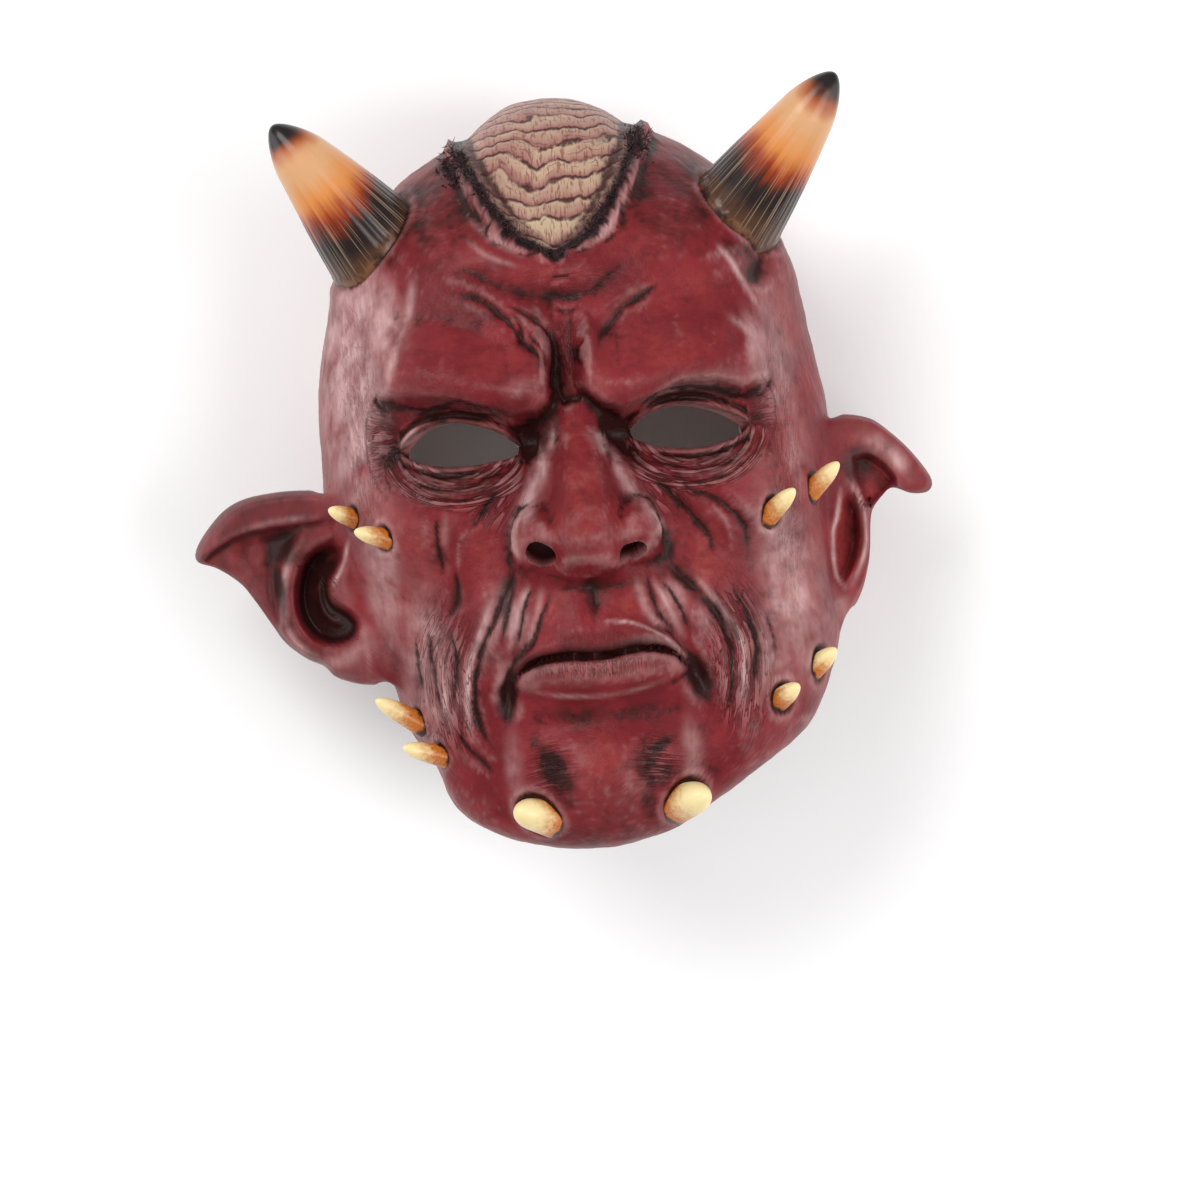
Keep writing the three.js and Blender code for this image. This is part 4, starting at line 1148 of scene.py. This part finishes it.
def paint_skin(mesh):
    """Writes where the paint is dark with wash and painted shade, red, pale with dry-brush and painted
    highlight, bone and torn, as colours of the mesh points.
    """
    points, edges = mesh_points(mesh), mesh_edges(mesh)
    normals = read(mesh.vertices, "normal", 3)
    x, y, z = points.T
    facing = fine_share(z) * ease(-0.1, 0.2, normals[:, 2])
    near_ear = on_ears(points)
    fine, broad = (((averaged(points, edges, rounds) - points) * normals).sum(1) for rounds in (3, 30))
    grain = fbm(points, 0.12, 4, 5.0)
    gap, _ = sockets(points)

    # Dark wash and painted shade, deepened in every hollow of the surface
    wash_and_shade = strongest(
        painted(x, y, WASH_AND_SHADE) * facing * (0.85 + 0.5 * grain),
        brushed(x, y, PAINTED_SHADE_STROKES) * facing,
        averaged(creased(x, y)[1][:, None], edges, 2)[:, 0] * facing,
        # painted shade inside the nostrils and the channels behind them
        in_nostrils(points),
        # painted shade in the seam round each glued piece
        ease(1.8, 0.1, gap) * 0.95,
        ear_shade(points, near_ear),
        0.6 * eye_rims(x, y) * facing,
    )
    fine *= ease(78, 70, np.abs(x)) * (1 - 0.9 * mound(x, y, 2, -85, 30, 4, power=2))
    # Painted shade in every hollow, from how far each point lies below its blurred neighbours, less under
    # the nose and in a recess of an ear
    open_air = 1 - 0.7 * mound(x, y, 1, -45.5, 17, 4.5) - mound(x, y, 98, -18, 11, 11, power=3)
    wash_and_shade += open_air * (4.0 * np.clip(fine - 0.01, 0, 0.2) + 0.35 * np.clip(broad, 0, 1.2))
    # Clear red, and pale paint, dry-brush and painted highlight, which also catches on the ridges
    glow = painted(x, y, GLOW) * np.maximum(facing, near_ear) * (0.9 + 0.6 * grain)
    sheen = strongest(
        painted(x, y, SHEEN) * (0.8 + 0.7 * grain),
        brushed(x, y, PALE_AND_HIGHLIGHT_STROKES) * facing * (0.9 + 0.5 * grain),
    )
    # Painted highlight on every ridge of the surface
    sheen += 0.2 * np.clip(-broad - 0.2, 0, 0.6) + 2.0 * np.clip(-fine - 0.05, 0, 0.1)
    sheen *= 1 - 0.4 * np.clip(glow, 0, 1)
    for side, reach, share in ((-1, 62, 0.75), (1, 32, 0.6)):
        on_edge = bell(y - np.interp(x, *BROW_EDGE[side]) - 2.5, 3.5)
        on_edge *= ease(reach, reach - 8, side * x)
        sheen *= 1 - share * on_edge * (side * x > 2)
    above = y - np.interp(x, *LIP_LINE)
    on_lip = ease(33, 25, np.abs(x - 2.5)) * (y < -50)
    sheen *= 1 - 0.85 * on_lip * ease(-1.5, 0, above) * ease(9, 5, above) * ease(20, 8, x)
    # Painted shade just above the line of the mouth
    wash_and_shade = np.maximum(wash_and_shade, 0.68 * on_lip * ease(-1, 0.3, above) * ease(7, 0.5, above))
    sheen = np.maximum(sheen, brushed(x, y, EAR_HIGHLIGHT_STROKES) * near_ear * (0.9 + 0.5 * grain))

    # Bare skull and its torn edge
    inward = bone_inward(points) + 1.2 * fbm(points, 0.3, 3, 4.0)
    bone = ease(-0.2, 0.6, inward)
    torn = ease(-4.2, -3.2, inward) * ease(1.2, 0.2, inward)
    for middle, _, wide in TUFTS:
        away = np.linalg.norm(points - middle, axis=1) + 2 * grain
        torn = np.maximum(torn, ease(1.1 * wide, 0.8 * wide, away))
    # Painted highlight along the raised rim just outside the torn edge
    beside_bone = bell(crest_edge(x, y) + 5.2, 0.7) * (y > 58) * (z > -70)
    sheen = np.maximum(sheen, 0.4 * beside_bone * (0.7 + grain))
    # Painted shade on the bare skull next to its torn edge
    wash_and_shade = np.where(inward > 0, np.maximum(wash_and_shade, ease(4.5, 0.5, inward) * 0.7), wash_and_shade)

    # Fine folds, and the layers of the bare skull instead of them
    across, along, strength = fold_flow(x, y)
    across = np.where(bone > 0, 0.7 * (y - z) - 0.016 * x * x, across)
    along = np.where(bone > 0, x, along)
    paint = np.stack([wash_and_shade, glow, sheen, np.ones_like(x)], 1)
    zone = np.stack([bone, torn, strength * facing * (1 - bone), np.ones_like(x)], 1)
    flow = np.stack([across, along, 0 * x, np.ones_like(x)], 1)
    write_colours(mesh, paint=np.clip(paint, 0, 1), zone=np.clip(zone, 0, 1), flow=flow)


def bone_inward(points):
    """Distance in from the torn edge, on the crown and where the bare skull ends behind it."""
    x, y, z = points.T
    inward = np.minimum(crest_edge(x, y), z - SKULL_END)
    return np.where(y > 50, inward, -50)


# Materials


def linear(colour):
    """A hexadecimal sRGB colour as linear red, green, blue and alpha."""
    parts = [int(colour[i : i + 2], 16) / 255 for i in (0, 2, 4)]
    return tuple(c / 12.92 if c <= 0.04045 else ((c + 0.055) / 1.055) ** 2.4 for c in parts) + (1,)


class Value:
    """The output of a node. Arithmetic on it adds a node that does it."""

    def __init__(self, nodes, socket):
        self.nodes, self.socket = nodes, socket

    def __add__(self, other):
        return self.nodes.math("ADD", self, other)

    def __sub__(self, other):
        return self.nodes.math("SUBTRACT", self, other)

    def __mul__(self, other):
        return self.nodes.math("MULTIPLY", self, other)


class Nodes:
    """A material and short ways to add nodes to it."""

    def __init__(self, name, roughness, **sockets):
        self.material = bpy.data.materials.new(name)
        self.material.use_nodes = True
        self.tree = self.material.node_tree
        self.shader = self.tree.nodes["Principled BSDF"]
        self.shader.inputs["Roughness"].default_value = roughness
        for socket, value in sockets.items():
            self.shader.inputs[socket.replace("_", " ")].default_value = value

    def put(self, socket, value):
        """Feeds a socket with another node's output or with a plain value."""
        if isinstance(value, Value):
            self.tree.links.new(value.socket, socket)
        else:
            socket.default_value = value

    def add(self, kind, out=0, inputs=(), **settings):
        node = self.tree.nodes.new(kind)
        for key, value in settings.items():
            setattr(node, key, value)
        for key, value in dict(inputs).items():
            self.put(node.inputs[key], value)
        return Value(self, node.outputs[out])

    def attribute(self, name, out):
        return self.add("ShaderNodeAttribute", out, attribute_name=name)

    def scaled(self, vector, *scale):
        return self.add("ShaderNodeMapping", 0, {"Vector": vector, "Scale": scale})

    def place(self, *scale):
        return self.scaled(self.add("ShaderNodeTexCoord", "Object"), *scale)

    def noise(self, scale, detail=4.0, vector=None, distortion=0.0):
        inputs = {"Scale": scale, "Detail": detail, "Distortion": distortion}
        inputs["Vector"] = vector or self.place(1, 1, 1)
        return self.add("ShaderNodeTexNoise", "Fac", inputs)

    def math(self, operation, a, b=0.0, clamp=False):
        return self.add("ShaderNodeMath", 0, {0: a, 1: b}, operation=operation, use_clamp=clamp)

    def most(self, a, b):
        return self.math("MAXIMUM", a, b)

    def range(self, value, low, high, out_low=0.0, out_high=1.0):
        """A smooth rise, or fall, from one value at low to another at high."""
        inputs = {"Value": value, "From Min": low, "From Max": high}
        inputs |= {"To Min": out_low, "To Max": out_high}
        return self.add("ShaderNodeMapRange", 0, inputs, interpolation_type="SMOOTHSTEP")

    def mix(self, factor, a, b):
        """Mixes two colours, given as outputs or as hexadecimal text."""
        a, b = (linear(c) if isinstance(c, str) else c for c in (a, b))
        return self.add("ShaderNodeMix", 2, {0: factor, 6: a, 7: b}, data_type="RGBA")

    def channels(self, attribute):
        """Red, green and blue of a layer of colours."""
        colour = self.attribute(attribute, "Color")
        node = self.tree.nodes.new("ShaderNodeSeparateColor")
        self.put(node.inputs[0], colour)
        return [Value(self, output) for output in node.outputs]

    def bump(self, height, distance, strength=1.0):
        inputs = {"Height": height, "Distance": distance, "Strength": strength}
        self.put(self.shader.inputs["Normal"], self.add("ShaderNodeBump", 0, inputs))

    def colour(self, value):
        self.put(self.shader.inputs["Base Color"], linear(value) if isinstance(value, str) else value)


def skin_material():
    m = Nodes("painted_latex", 0.38, Specular_IOR_Level=0.13)
    wash_and_shade, glow, sheen = m.channels("paint")
    bone, torn, folded = m.channels("zone")
    patches = m.noise(55, 5)
    clouds = m.noise(190, 5)
    speckle = m.noise(420, 4)
    streaks = m.noise(1.0, 4, m.place(650, 130, 300))

    # Fine folds: noise stretched along their flow, with wash and painted shade in the grooves and dry-brush
    # and painted highlight on the ridges
    flow = m.attribute("flow", "Vector")
    folds = m.noise(1.0, 2.5, m.scaled(flow, 0.75, 0.11, 1))
    from_line = m.math("ABSOLUTE", folds - 0.5)
    grooves = m.most(m.range(from_line, 0.03, 0.008), m.range(folds, 0.54, 0.64) * 0.7)
    grooves = grooves * m.range(folded, 0.1, 0.7)
    ridges = m.range(from_line, 0.025, 0.06) * m.range(folds, 0.51, 0.46)
    ridges = ridges * m.range(folded, 0.3, 0.9)

    wash_and_shade = wash_and_shade + m.range(clouds, 0.3, 0.7, -0.09, 0.09)
    wash_and_shade = m.most(m.range(wash_and_shade, 0.05, 1.0), grooves * 0.85)
    base = m.mix(m.range(patches, 0.35, 0.68), "661b21", "7d262b")
    red = m.mix(m.range(speckle, 0.3, 0.7), "7c2829", "8b3434")
    base = m.mix(glow * m.range(patches, 0.25, 0.6, 0.7, 1.0), base, red)
    # Pale dry-brush and painted highlight, broken by streaks, and on the ridges of the fine folds
    pale_and_sheen = sheen * m.range(streaks, 0.27, 0.72, 0.72, 1.0)
    pale_and_sheen = m.most(pale_and_sheen, ridges * 0.38)
    base = m.mix(pale_and_sheen * 0.8, base, "c9a5a3")
    base = m.mix(m.range(clouds, 0.5, 0.75, 0, 0.3), base, "4a1519")
    shade = wash_and_shade * m.range(patches, 0.3, 0.7, 0.8, 1.0)
    shade = m.most(shade, m.range(wash_and_shade, 0.8, 1.0))
    base = m.mix(m.math("MULTIPLY", shade, 0.97, clamp=True), base, "27110f")
    base = m.mix(torn, base, m.mix(m.range(speckle, 0.35, 0.65), "140c0d", "2e1a1c"))

    # Bare skull: cream with wavy dark cracks across and fine upright streaks
    rise, _, _ = m.channels("flow")
    phase = rise * (1 / 7)
    phase = phase + m.noise(1.0, 1, m.scaled(flow, 0.05, 0.07, 1)) * 2.2
    phase = phase + m.noise(1.0, 2, m.scaled(flow, 0.2, 0.3, 1)) * 0.6
    from_crack = m.math("PINGPONG", phase, 0.5)
    above = m.math("FRACT", phase)
    broken = m.noise(1.0, 2, m.scaled(flow, 0.1, 0.12, 1), 1.0)
    cracks = m.range(from_crack, 0.16, 0.03) * m.range(broken, 0.38, 0.55, 0.3, 1.0)
    lesser = m.math("PINGPONG", phase * 2.7, 0.5)
    lesser = m.range(lesser, 0.16, 0.03) * m.range(broken, 0.5, 0.4, 0, 0.5)
    cracks = m.most(cracks, lesser)
    streak = m.range(m.noise(1.0, 3, m.scaled(flow, 0.22, 1.2, 1), 0.7), 0.52, 0.62)
    skull = m.mix(m.range(patches, 0.35, 0.65), "b9a186", "a28070")
    skull = m.mix(m.range(rise, 45, 75, 0, 0.45), skull, "a5766f")
    skull = m.mix(streak * 0.7, skull, "75403c")
    # Darker burgundy just above each crack and cream just below the next: painted shade and highlight of
    # the ledges
    skull = m.mix(m.range(above, 0.55, 0.05) * 0.62, skull, "844547")
    skull = m.mix(m.range(above, 0.6, 0.95, 0, 0.3), skull, "cfbf9f")
    skull = m.mix(cracks * 0.9, skull, "3a171a")
    skull = m.mix(m.math("MULTIPLY", wash_and_shade, 0.9, clamp=True), skull, "34171a")
    m.colour(m.mix(bone, base, skull))
    height = m.noise(1100, 3) * 0.16 + m.noise(330, 3) * 0.22
    height = height + grooves * -0.4
    height = height + cracks * bone * -0.3
    m.bump(height, 0.001, 0.8)
    return m.material


def lining_material():
    m = Nodes("raw_latex_lining", 0.6)
    m.colour(m.mix(m.range(m.noise(60, 4), 0.3, 0.7), "8d6a60", "a98a7c"))
    m.bump(m.noise(500, 3), 0.0002, 0.5)
    return m.material


def horn_material():
    """Black tip, sand and orange middle, red, then a dark fluted foot with a tan lip."""
    m = Nodes("painted_horn", 0.32, Specular_IOR_Level=0.2, Coat_Weight=0.32, Coat_Roughness=0.18)
    along, edge, _ = m.channels("paint")
    grain = m.attribute("grain", "Vector")
    broad_streaks = m.noise(1.0, 2, m.scaled(grain, 7, 7, 1.0))
    thin_streaks = m.noise(1.0, 2, m.scaled(grain, 26, 26, 1.2))
    ragged = along + m.range(m.noise(90, 2), 0.2, 0.8, -0.03, 0.03)
    streaked = ragged + m.range(broad_streaks, 0.3, 0.7, -0.032, 0.032)
    colour = m.mix(m.range(streaked, 0.35, 0.54), "93330f", "ce8342")
    colour = m.mix(m.range(streaked, 0.5, 0.7), colour, "cc9a6e")
    colour = m.mix(m.range(streaked, 0.42, 0.24), colour, "1c0d0a")
    colour = m.mix(m.range(ragged, 0.18, 0.02, 0, 0.7), colour, "573622")
    colour = m.mix(m.range(ragged, 0.74, 0.87, 0, 0.9), colour, "9a4318")
    colour = m.mix(m.range(ragged, 0.83, 0.92), colour, "1a1210")
    lines = m.range(thin_streaks, 0.57, 0.66) * m.range(along, 0.6, 0.36)
    colour = m.mix(lines * 0.5, colour, "a89078")
    colour = m.mix(edge, colour, m.mix(m.range(m.noise(240, 3), 0.35, 0.6), "6e472c", "2a1610"))
    m.colour(colour)
    m.bump(m.noise(700, 2), 0.0001, 0.4)
    return m.material


def spike_material():
    m = Nodes("painted_bone_spike", 0.4, Coat_Weight=0.1, Coat_Roughness=0.25)
    along, side, _ = m.channels("paint")
    ragged = along + m.range(m.noise(300, 3), 0.2, 0.8, -0.08, 0.08)
    ragged = ragged - side * 0.1
    mottled = ragged + m.range(m.noise(700, 3), 0.3, 0.7, -0.07, 0.07)
    colour = m.mix(m.range(mottled, 0.15, 0.8), "bd6a22", "ead49c")
    flecks = m.range(m.noise(1300, 3), 0.57, 0.64) * m.range(along, 0.75, 0.2, 0, 0.6)
    colour = m.mix(flecks, colour, "6f3512")
    m.colour(m.mix(m.range(ragged, 0.07, -0.03), colour, "3d1c0e"))
    m.bump(m.noise(900, 2), 0.0001, 0.3)
    return m.material


# Glued pieces

SUNK = 1.5  # how deep under the skin they start
BURIED = 1.6  # length of their sides below the skin line
HORN_RINGS, HORN_SIDES, HORN_FLUTES = 90, 186, 31
SPIKE_RINGS, SPIKE_SIDES = 24, 32
CHIN_CREAM = 0.55  # the chin spikes are pale for most of their length


def smooth_curve(path):
    """A function from a share of the length to the place and direction on a curve through the points."""
    places = smooth_path(path, 60)
    shares = lengths(places) / lengths(places)[-1]

    def place(share):
        return np.array([np.interp(share, shares, places[:, i]) for i in range(3)])

    return lambda share: (place(share), unit(place(share + 0.02) - place(share - 0.02)))


def blunt(base, tip, round_from, swell=1.0):
    """A radius that falls to a rounded end; with a swell over 1 the sides bulge."""

    def radius(share):
        s = np.clip((share - round_from) / (1 - round_from), 0, 1)
        return mix(base, tip, share**swell) * np.sqrt(1 - s * s)

    return radius


def glued_piece(name, path, radius_at, seat, rings, sides, details, material):
    """A tapered piece that starts just under the skin.

    details gives the relief and the paint at each point, from its share of the free length, its angle, its
    height over the start and the whole height there."""
    curve = smooth_curve(path)
    reach = np.linalg.norm(np.subtract(path[-1], path[0]))
    angles = np.arange(sides) / sides * 2 * math.pi

    def ring_point(t, angle, extra=0.0):
        centre, way = curve(t)
        u = unit(np.cross((0, 0, 1), way))
        v = np.cross(way, u)
        return centre + (radius_at(t) + extra) * (math.cos(angle) * u + math.sin(angle) * v)

    # Where each line of the piece comes out of the skin, at the latest at its seat
    start = np.zeros(sides)
    for side, angle in enumerate(angles):
        t = seat
        while t > 0.02:
            spot = Vector(to_row(ring_point(t, angle)))
            place, normal, _, _ = skin_tree.find_nearest(spot)
            if (spot - place).dot(normal) < -SUNK / 1000:
                break
            t -= 0.01
        start[side] = t
    start = np.minimum(start, np.minimum(np.roll(start, 1), np.roll(start, -1)))
    points, paint, grain = [], [], []
    for row in np.sin(np.linspace(0, 1, rings + 1) * math.pi / 2):
        for side, angle in enumerate(angles):
            t = mix(start[side], 1, row)
            share = (t - seat) / (1 - seat)
            risen, whole = (t - start[side]) * reach, (1 - start[side]) * reach
            extra, along, edge = details(share, angle, risen, whole)
            points.append(ring_point(t, angle, extra))
            paint.append((along, edge, 0, 1))
            grain.append((math.cos(angle), math.sin(angle), share, 1))
    numbers = numbered(rings + 1, sides)
    numbers[-1] = numbers[-1, 0]
    faces = ring_faces(numbers, flip=True)
    used = np.unique(faces)
    obj = new_object(name, np.array(points), faces)
    write_colours(obj.data, paint=np.clip(paint, 0, 1)[used], grain=np.array(grain)[used])
    obj.data.shade_smooth()
    obj.data.materials.append(material)
    return obj


def horn_details(share, angle, risen, whole):
    """Flutes on the lower part, and the lip at the foot, which is a few millimetres high."""
    low = float(ease(0.5, 0.3, share))
    flute = math.sin(HORN_FLUTES * angle + 1.3 * math.sin(3 * angle))
    lip = float(ease(BURIED + 3.8, BURIED + 2.2, risen))
    return 0.11 * low * flute * (1 - lip) + 0.3 * lip, share, lip


def spike_details(share, angle, risen, whole, cream):
    """Slight facets. The paint runs from the skin line to the tip; a low cream makes a paler spike."""
    along = (max(0.0, risen - BURIED) / (whole - BURIED)) ** cream
    return 0.12 * math.sin(5 * angle) * (1 - share), along, 0.5 - 0.5 * math.cos(angle)


# Assembly


def build_shell():
    """The head with its ears joined on and its nostrils cut."""
    points, faces, outer_count = hollow_head()
    kinds = np.where((faces < outer_count).any(1), SKIN, LINING)
    shell = new_object("mask_skin", points, faces, kinds)
    for material in (skin_material(), lining_material(), None):
        shell.data.materials.append(material)
    plug = head_plug()
    for name, ear in EARS.items():
        points, faces = ear_body(ear)
        body = new_object("ear_" + name, points, faces, np.full(len(faces), EAR))
        for _ in (SKIN, LINING, EAR):
            body.data.materials.append(None)
        combine(body, new_object("plug", *plug), "DIFFERENCE")
        combine(shell, body, "UNION")
    for x, y, across, high, turn in NOSTRILS:
        foot, a, b, out, start, end = nostril_frame(x, y, high, turn)
        bowl = rod(foot + NOSTRIL_FRONT * out, foot - NOSTRIL_DEEP * out, a * across, b * high)
        combine(shell, bowl, "DIFFERENCE")
        combine(shell, rod(start, end, CHANNEL_RADIUS * a, CHANNEL_RADIUS * b), "DIFFERENCE")
    return shell


def rod(start, end, a, b):
    """A closed oval rod, whose half widths are the vectors a and b."""
    sides = 24
    angle = (np.arange(sides) / sides * 2 * math.pi)[:, None]
    oval = np.cos(angle) * a + np.sin(angle) * b
    points = np.vstack([start + oval, end + oval, [start], [end]])
    low, high = np.arange(sides), np.arange(sides) + sides
    following = np.roll(low, -1)
    faces = np.vstack([
        np.stack([low, following, following + sides], 1),
        np.stack([low, following + sides, high], 1),
        np.stack([following, low, np.full(sides, 2 * sides)], 1),
        np.stack([high, following + sides, np.full(sides, 2 * sides + 1)], 1),
    ])
    return new_object("rod", points, faces, np.zeros(len(faces)))


SHARP_FROM = 70  # degrees between faces from which an edge of the skin is drawn sharp

skin = build_shell()
smooth_seams(skin.data)
paint_skin(skin.data)
kinds = mesh_kinds(skin.data)
skin.data.polygons.foreach_set("material_index", np.where(kinds == EAR, SKIN, kinds).astype(np.int32))
skin.data.materials.pop(index=EAR)
skin.data.shade_smooth()
skin.data.set_sharp_from_angle(angle=math.radians(SHARP_FROM))
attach(skin, "root")
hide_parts("mask_shell")

skin_tree = BVHTree.FromObject(skin, bpy.context.evaluated_depsgraph_get())
horn_look, spike_look = horn_material(), spike_material()
for name, (path, foot) in HORNS.items():
    radius = blunt(foot, HORN_TIP, 0.8, HORN_SWELL)
    size = (HORN_RINGS, HORN_SIDES)
    horn = glued_piece(name + "_looks", path, radius, HORN_SEAT, *size, horn_details, horn_look)
    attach(horn, "root")
    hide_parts(name)
for name, (_, _, size) in SPIKES.items():
    root, _, tip = spike_line(name)
    radius = blunt(size * 1.08, size * SPIKE_TIP_SHARE, 0.6)
    seat = SPIKE_ROOT / np.linalg.norm(tip - root)
    line = [root, (root + tip) / 2, tip]
    details = partial(spike_details, cream=CHIN_CREAM if name.startswith("chin") else 1.0)
    size = (SPIKE_RINGS, SPIKE_SIDES)
    spike = glued_piece(name + "_looks", line, radius, seat, *size, details, spike_look)
    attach(spike, "root")
    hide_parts(name)


EDGE_STRANDS, TUFT_STRANDS = 260, 420  # on each side of the bare skull, and in each tuft


def torn_strands():
    """Frayed strands along the torn edge, thickest in two tufts at the top."""
    rng = np.random.default_rng(7)
    points, faces = [], []
    sides, steps = 4, 4

    def strand(x, y, length, lift):
        hit, normal, _, _ = skin_tree.ray_cast(Vector(to_row((x, y, 200))), Vector((0, 0, -1)))
        if hit is None:
            return
        foot = from_row(hit)
        way = unit(np.array(normal) * lift + rng.normal(0, 0.7, 3))
        bend = rng.normal(0, 0.7, 3)
        thick = rng.uniform(0.22, 0.5)
        u = unit(np.cross(way, (0.3, 0.2, 0.9)))
        v = np.cross(way, u)
        first = len(points)
        for step in range(steps + 1):
            t = step / steps
            centre = foot + way * (length * t - 0.6) + bend * length * t * t
            for k in range(sides):
                a = 2 * math.pi * k / sides
                points.append(centre + thick * (1 - 0.85 * t) * (math.cos(a) * u + math.sin(a) * v))
        for step in range(steps):
            for k in range(sides):
                a, b = first + step * sides + k, first + step * sides + (k + 1) % sides
                faces.extend([(a, b, b + sides), (a, b + sides, a + sides)])
        end = first + steps * sides
        faces.extend([(end, end + 1, end + 2), (end, end + 2, end + 3)])

    for side in (-1, 1):
        for _ in range(EDGE_STRANDS):
            y = rng.uniform(60, 99)
            half = np.interp(y, CREST_Y, CREST_HALF) + rng.uniform(0.3, 3.6)
            strand(CREST_X + side * half, y, rng.uniform(0.8, 2.0), 1.0)
    for cx, cy in ((-33, 94), (28.5, 97.5)):
        for _ in range(TUFT_STRANDS):
            strand(cx + rng.normal(0, 2.0), cy + rng.normal(0, 3.2), rng.uniform(0.7, 1.7), 0.9)
    obj = new_object("torn_edge", np.array(points), np.array(faces))
    obj.data.shade_smooth()
    look = Nodes("torn_latex", 0.6, Specular_IOR_Level=0.25)
    look.colour(look.mix(look.range(look.noise(300, 3), 0.35, 0.65), "1c1213", "43282b"))
    obj.data.materials.append(look.material)
    return obj


strands = torn_strands()
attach(strands, "root")

# Table, light and camera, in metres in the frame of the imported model

TABLE_HALF, TABLE_DROP = 3, 0.0003  # half width, and how far it lies below the rim
DAYLIGHT = 0.5  # strength of the even white light all round
LIGHTS = [  # name, place, size and energy of each soft light
    ("key", (-0.7, 0.75, 1.5), (0.9, 0.9), 16),
    ("fill", (0.8, -0.3, 1.25), (0.8, 0.8), 9),
    ("side_right", (-1.1, 0.1, 0.35), (0.6, 0.9), 4),
    ("side_left", (1.1, -0.2, 0.35), (0.6, 0.9), 3.5),
]
LIT_PLACE = Vector((0, 0, 0.08))  # the lights face this place inside the mask
CAMERA_DISTANCE = 1.8  # above the eye plane
CAMERA_OVER = (4.0, -52.9)  # place on the face in the middle of the photograph, in millimetres
CAMERA_ROLL = 4.6  # degrees
FRAME_WIDTH = 0.3934  # at the eye plane

table = bpy.data.meshes.new("table")
corners = [(x * TABLE_HALF, y * TABLE_HALF, -TABLE_DROP) for x, y in ((-1, -1), (1, -1), (1, 1), (-1, 1))]
table.from_pydata(corners, [], [(0, 1, 2, 3)])
floor = link("table", table)
table_look = Nodes("pale_table", 0.8)
table_look.colour("fbfbfb")
floor.data.materials.append(table_look.material)

world = bpy.data.worlds.new("studio")
bpy.context.scene.world = world
world.use_nodes = True
world.node_tree.nodes["Background"].inputs["Color"].default_value = (1, 1, 1, 1)
world.node_tree.nodes["Background"].inputs["Strength"].default_value = DAYLIGHT

for name, spot, size, energy in LIGHTS:
    lamp = bpy.data.lights.new(name, "AREA")
    lamp.shape = "RECTANGLE"
    lamp.size, lamp.size_y = size
    lamp.energy = energy
    light = link(name, lamp)
    light.location = spot
    light.rotation_euler = (LIT_PLACE - Vector(spot)).to_track_quat("-Z", "Y").to_euler()

# The camera looks straight down, as the photograph looks at the face, with its small roll
eye = to_row((*CAMERA_OVER, 0))
camera = link("camera", bpy.data.cameras.new("camera"))
camera.location = (eye[0], eye[1], eye[2] + CAMERA_DISTANCE)
camera.rotation_euler = (0, 0, -math.radians(CAMERA_ROLL))
camera.data.angle = 2 * math.atan(FRAME_WIDTH / 2 / CAMERA_DISTANCE)
bpy.context.scene.camera = camera
bpy.context.scene.view_settings.view_transform = "Standard"
